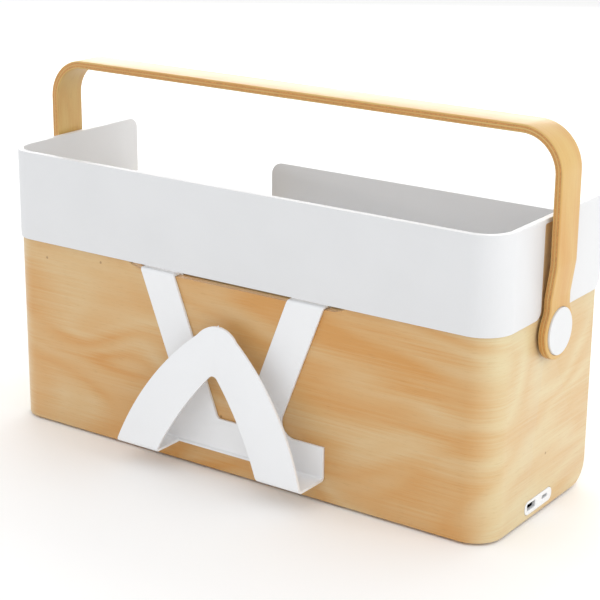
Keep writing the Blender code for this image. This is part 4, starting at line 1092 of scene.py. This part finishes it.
def build_inside():
    for node, along, depth, edge in (
        ("bottom_board", 0, 2, 0.5), ("laptop_divider", 0, 1, 0.7), ("side_divider", 2, 0, 0.7),
        ("back_panel", 0, 1, 0.7),
    ):
        slot = "birch_ply" if node == "back_panel" else "inner_ply"
        finish_copy(node, f"{node}_veneered", "birch_boards", slot, edge, 3, (along, depth, 0.31 * depth))
    for end in ENDS:
        for _sign, hand in SIDES:
            node = f"mounting_block_{end}_{hand}"
            finish_copy(node, f"{node}_cut", "birch_boards", "inner_ply", 0.5, sheet=(1, 2))
    finish_copy("cup_shelf", "cup_shelf_bent", "powder_white", "white_coat", 0.35)
    low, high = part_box("laptop_pad")
    outline = round_corners(rectangle((low.x, low.y), (high.x, high.y)), 3 * MM, steps=8)
    pad = plate("pad", [outline], "XY", (low.z + high.z) / 2, high.z - low.z)
    bevel(pad, 0.9 * MM, 3)
    bake_modifiers(pad, 60)
    finish_piece(pad, "laptop_felt", "grey_felt", "felt", "root", "laptop_pad")
    grommet = finish_copy("cable_grommet", "cable_grommet_ring", "soft_rubber", "rubber", 0.5, 3)
    smooth_shade(grommet, 50)


def build_hub():
    finish_copy("hub_plate", "outlet_plate", "powder_bright", "white_coat", 0.35, 3)
    for node, finish, slot, edge in (
        ("hub_case", "moulded_black", "black_plastic", 0.5),
        ("usb_a_socket", "socket_shell", "socket_steel", 0.08),
        ("usb_c_socket", "socket_shell", "socket_steel", 0.08),
        ("hub_inlet", "socket_shell", "socket_steel", 0.08),
        ("usb_a_tongue", "moulded_black", "black_plastic", 0.15),
        ("hub_circuit_board", "circuit_green", "circuit", 0.1),
    ):
        finish_copy(node, f"{node}_finished", finish, slot, edge)
    low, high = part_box("usb_a_tongue")
    pitch = (high.y - low.y) / 4
    back, front, half, proud, sunk = 2 * MM, 0.6 * MM, 0.5 * MM, 0.12 * MM, 0.1 * MM
    for index in range(4):
        middle = low.y + pitch * (index + 0.5)
        strip_low = (low.x + back, middle - half, low.z - proud)
        strip_high = (high.x - front, middle + half, low.z + sunk)
        contact = box(f"contact_{index}", strip_low, strip_high)
        bevel(contact, 0.05 * MM, 2)
        bake_modifiers(contact)
        finish_piece(contact, f"usb_contact_{index + 1}", "contact_gold", "socket_steel", "root")


def build_feet():
    for node in ("foot_front_left", "foot_front_right", "foot_rear_left", "foot_rear_right"):
        low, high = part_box(node)
        radius, height = (high.x - low.x) / 2, high.z - low.z
        centre = Vector(((low.x + high.x) / 2, (low.y + high.y) / 2, low.z))
        soft, slope, deep, chamfer = 0.5 * MM, 0.15 * MM, 0.25 * MM, 0.2 * MM
        round_low = [(radius - soft + soft * math.sin(turn), soft - soft * math.cos(turn))
                     for turn in [math.radians(18 * k) for k in range(6)]]
        grooves = []
        for ring in (radius * 0.35, radius * 0.6):
            grooves += [(ring, 0), (ring + slope, deep), (ring + 3 * slope, deep), (ring + 4 * slope, 0)]
        rim = [(radius, height - chamfer), (radius - chamfer, height), (0, height)]
        profile = [(0, 0)] + grooves + round_low + rim
        foot = lathe(node + "_disc", profile, centre, (0, 0, 1), 64)
        smooth_shade(foot, 35)
        finish_piece(foot, node + "_pad", "soft_rubber", "rubber", "root", node)


# Stage

def area_light(name, place, size, watts, tint):
    light = bpy.data.lights.new(name, "AREA")
    light.color = tint
    light.shape = "RECTANGLE"
    light.size, light.size_y = size
    light.energy = watts
    obj = scene_object(name, light)
    obj.location = place
    obj.rotation_euler = (Vector(LIGHT_AIM) - Vector(place)).to_track_quat("-Z", "Y").to_euler()


def build_stage(stage):
    scene = bpy.context.scene
    target = Vector(stage.target)
    level = math.cos(stage.elevation)
    back = Vector((math.sin(stage.azimuth) * level, -math.cos(stage.azimuth) * level, 0))
    back.z = math.sin(stage.elevation)
    right = (-back).cross(Vector((0, 0, 1))).normalized()
    up = right.cross(-back)
    tilt = stage.roll
    right, up = right * math.cos(tilt) + up * math.sin(tilt), up * math.cos(tilt) - right * math.sin(tilt)
    place = Matrix((right, up, back)).transposed().to_4x4()
    place.translation = target + back * stage.distance
    data = bpy.data.cameras.new("camera")
    data.lens = stage.lens
    data.sensor_width = 36
    data.shift_x, data.shift_y = stage.shift
    data.clip_start, data.clip_end = 0.05, 50
    camera = scene_object("camera", data)
    camera.matrix_world = place
    scene.camera = camera

    reach = FLOOR_HALF
    outline = rectangle((-reach, -reach), (reach, reach))
    floor = plate("floor", [outline], "XY", -FLOOR_THICK / 2, FLOOR_THICK)
    shader = Shader("floor_white")
    cloud = shader.noise(shader.place(), 1.5, 2.0)
    paint = shader.over((0.985,) * 3, cloud, 0.3, 0.7, (0.975,) * 3)
    connect(shader.tree, paint, shader.principled.inputs["Base Color"])
    shader.principled.inputs["Roughness"].default_value = 0.8
    floor.data.materials.append(shader.material)

    world = bpy.data.worlds.new("studio")
    world.use_nodes = True
    sky = world.node_tree.nodes["Background"].inputs
    sky["Color"].default_value, sky["Strength"].default_value = (1, 1, 1, 1), 0.92
    scene.world = world
    scene.view_settings.view_transform = "Standard"
    for name, place, size, watts, tint in (
        ("key", (0.5, -1.2, 1.9), (1.2, 0.9), 2.5, (0.95, 0.975, 1.0)),
        ("left_fill", (-1.9, -0.9, 0.9), (1.2, 1.2), 1.5, (0.90, 0.95, 1.0)),
        ("right_fill", (1.9, 0.1, 0.9), (1.0, 1.2), 8, (1.0, 0.975, 0.94)),
        ("back_top", (0.0, 1.4, 1.7), (1.4, 0.8), 5, (1.0, 0.99, 0.97)),
        ("rim_glow", (-1.3, 1.9, 0.75), (2.0, 0.8), 16, (1.0, 0.99, 0.97)),
    ):
        area_light(name, place, size, watts, tint)


# Operators and panel

class CADDY_OT_case(bpy.types.Operator):
    """Build the bent plywood case"""

    bl_idname = "caddy.case"
    bl_label = "Case"

    def execute(self, context):
        build_case(context.scene.caddy_case)
        return {"FINISHED"}


class CADDY_OT_tray(bpy.types.Operator):
    """Build the white tray rim and the birch in its slots"""

    bl_idname = "caddy.tray"
    bl_label = "Tray rim"

    def execute(self, context):
        build_tray(context.scene.caddy_tray)
        return {"FINISHED"}


class CADDY_OT_handle(bpy.types.Operator):
    """Build the bent handle and its caps"""

    bl_idname = "caddy.handle"
    bl_label = "Handle"

    def execute(self, context):
        build_handle(context.scene.caddy_handle)
        build_caps()
        return {"FINISHED"}


class CADDY_OT_clip(bpy.types.Operator):
    """Build the keyboard clip"""

    bl_idname = "caddy.clip"
    bl_label = "Keyboard clip"

    def execute(self, context):
        build_clip(context.scene.caddy_clip)
        return {"FINISHED"}


class CADDY_OT_fasteners(bpy.types.Operator):
    """Build the screws and the pivots' hardware"""

    bl_idname = "caddy.fasteners"
    bl_label = "Fasteners"

    def execute(self, context):
        build_fasteners()
        return {"FINISHED"}


class CADDY_OT_inside(bpy.types.Operator):
    """Finish the boards, shelf, pad and grommet"""

    bl_idname = "caddy.inside"
    bl_label = "Inside"

    def execute(self, context):
        build_inside()
        return {"FINISHED"}


class CADDY_OT_hub(bpy.types.Operator):
    """Finish the outlet plate, sockets and hub"""

    bl_idname = "caddy.hub"
    bl_label = "Hub"

    def execute(self, context):
        build_hub()
        return {"FINISHED"}


class CADDY_OT_feet(bpy.types.Operator):
    """Build the rubber feet"""

    bl_idname = "caddy.feet"
    bl_label = "Feet"

    def execute(self, context):
        build_feet()
        return {"FINISHED"}


class CADDY_OT_stage(bpy.types.Operator):
    """Set up the floor, light and camera"""

    bl_idname = "caddy.stage"
    bl_label = "Stage"

    def execute(self, context):
        build_stage(context.scene.caddy_stage)
        return {"FINISHED"}


class CADDY_PT_panel(bpy.types.Panel):
    """Lists the caddy's pieces and their sizes"""

    bl_label = "Desk Caddy"
    bl_idname = "CADDY_PT_panel"
    bl_space_type = "VIEW_3D"
    bl_region_type = "UI"
    bl_category = "Caddy"

    def draw(self, context):
        for operator in OPERATORS:
            self.layout.operator(operator.bl_idname)
        for key, group in GROUPS.items():
            section_box = self.layout.box()
            section_box.label(text=key.replace("_", " ").capitalize())
            for name in group.__annotations__:
                section_box.prop(getattr(context.scene, key), name)


GROUPS = {
    "caddy_case": CaddyCase,
    "caddy_tray": CaddyTray,
    "caddy_handle": CaddyHandle,
    "caddy_clip": CaddyClip,
    "caddy_wood": CaddyWood,
    "caddy_coat": CaddyCoat,
    "caddy_stage": CaddyStage,
}
OPERATORS = (
    CADDY_OT_case, CADDY_OT_tray, CADDY_OT_handle, CADDY_OT_clip, CADDY_OT_fasteners, CADDY_OT_inside,
    CADDY_OT_hub, CADDY_OT_feet, CADDY_OT_stage,
)


def register():
    for cls in (*GROUPS.values(), *OPERATORS, CADDY_PT_panel):
        bpy.utils.register_class(cls)
    for key, group in GROUPS.items():
        setattr(bpy.types.Scene, key, bpy.props.PointerProperty(type=group))


def unregister():
    for key in GROUPS:
        delattr(bpy.types.Scene, key)
    for cls in reversed((*GROUPS.values(), *OPERATORS, CADDY_PT_panel)):
        bpy.utils.unregister_class(cls)


def main():
    register()
    for operator in OPERATORS:
        group, name = operator.bl_idname.split(".")
        getattr(getattr(bpy.ops, group), name)()


if __name__ == "__main__":
    main()
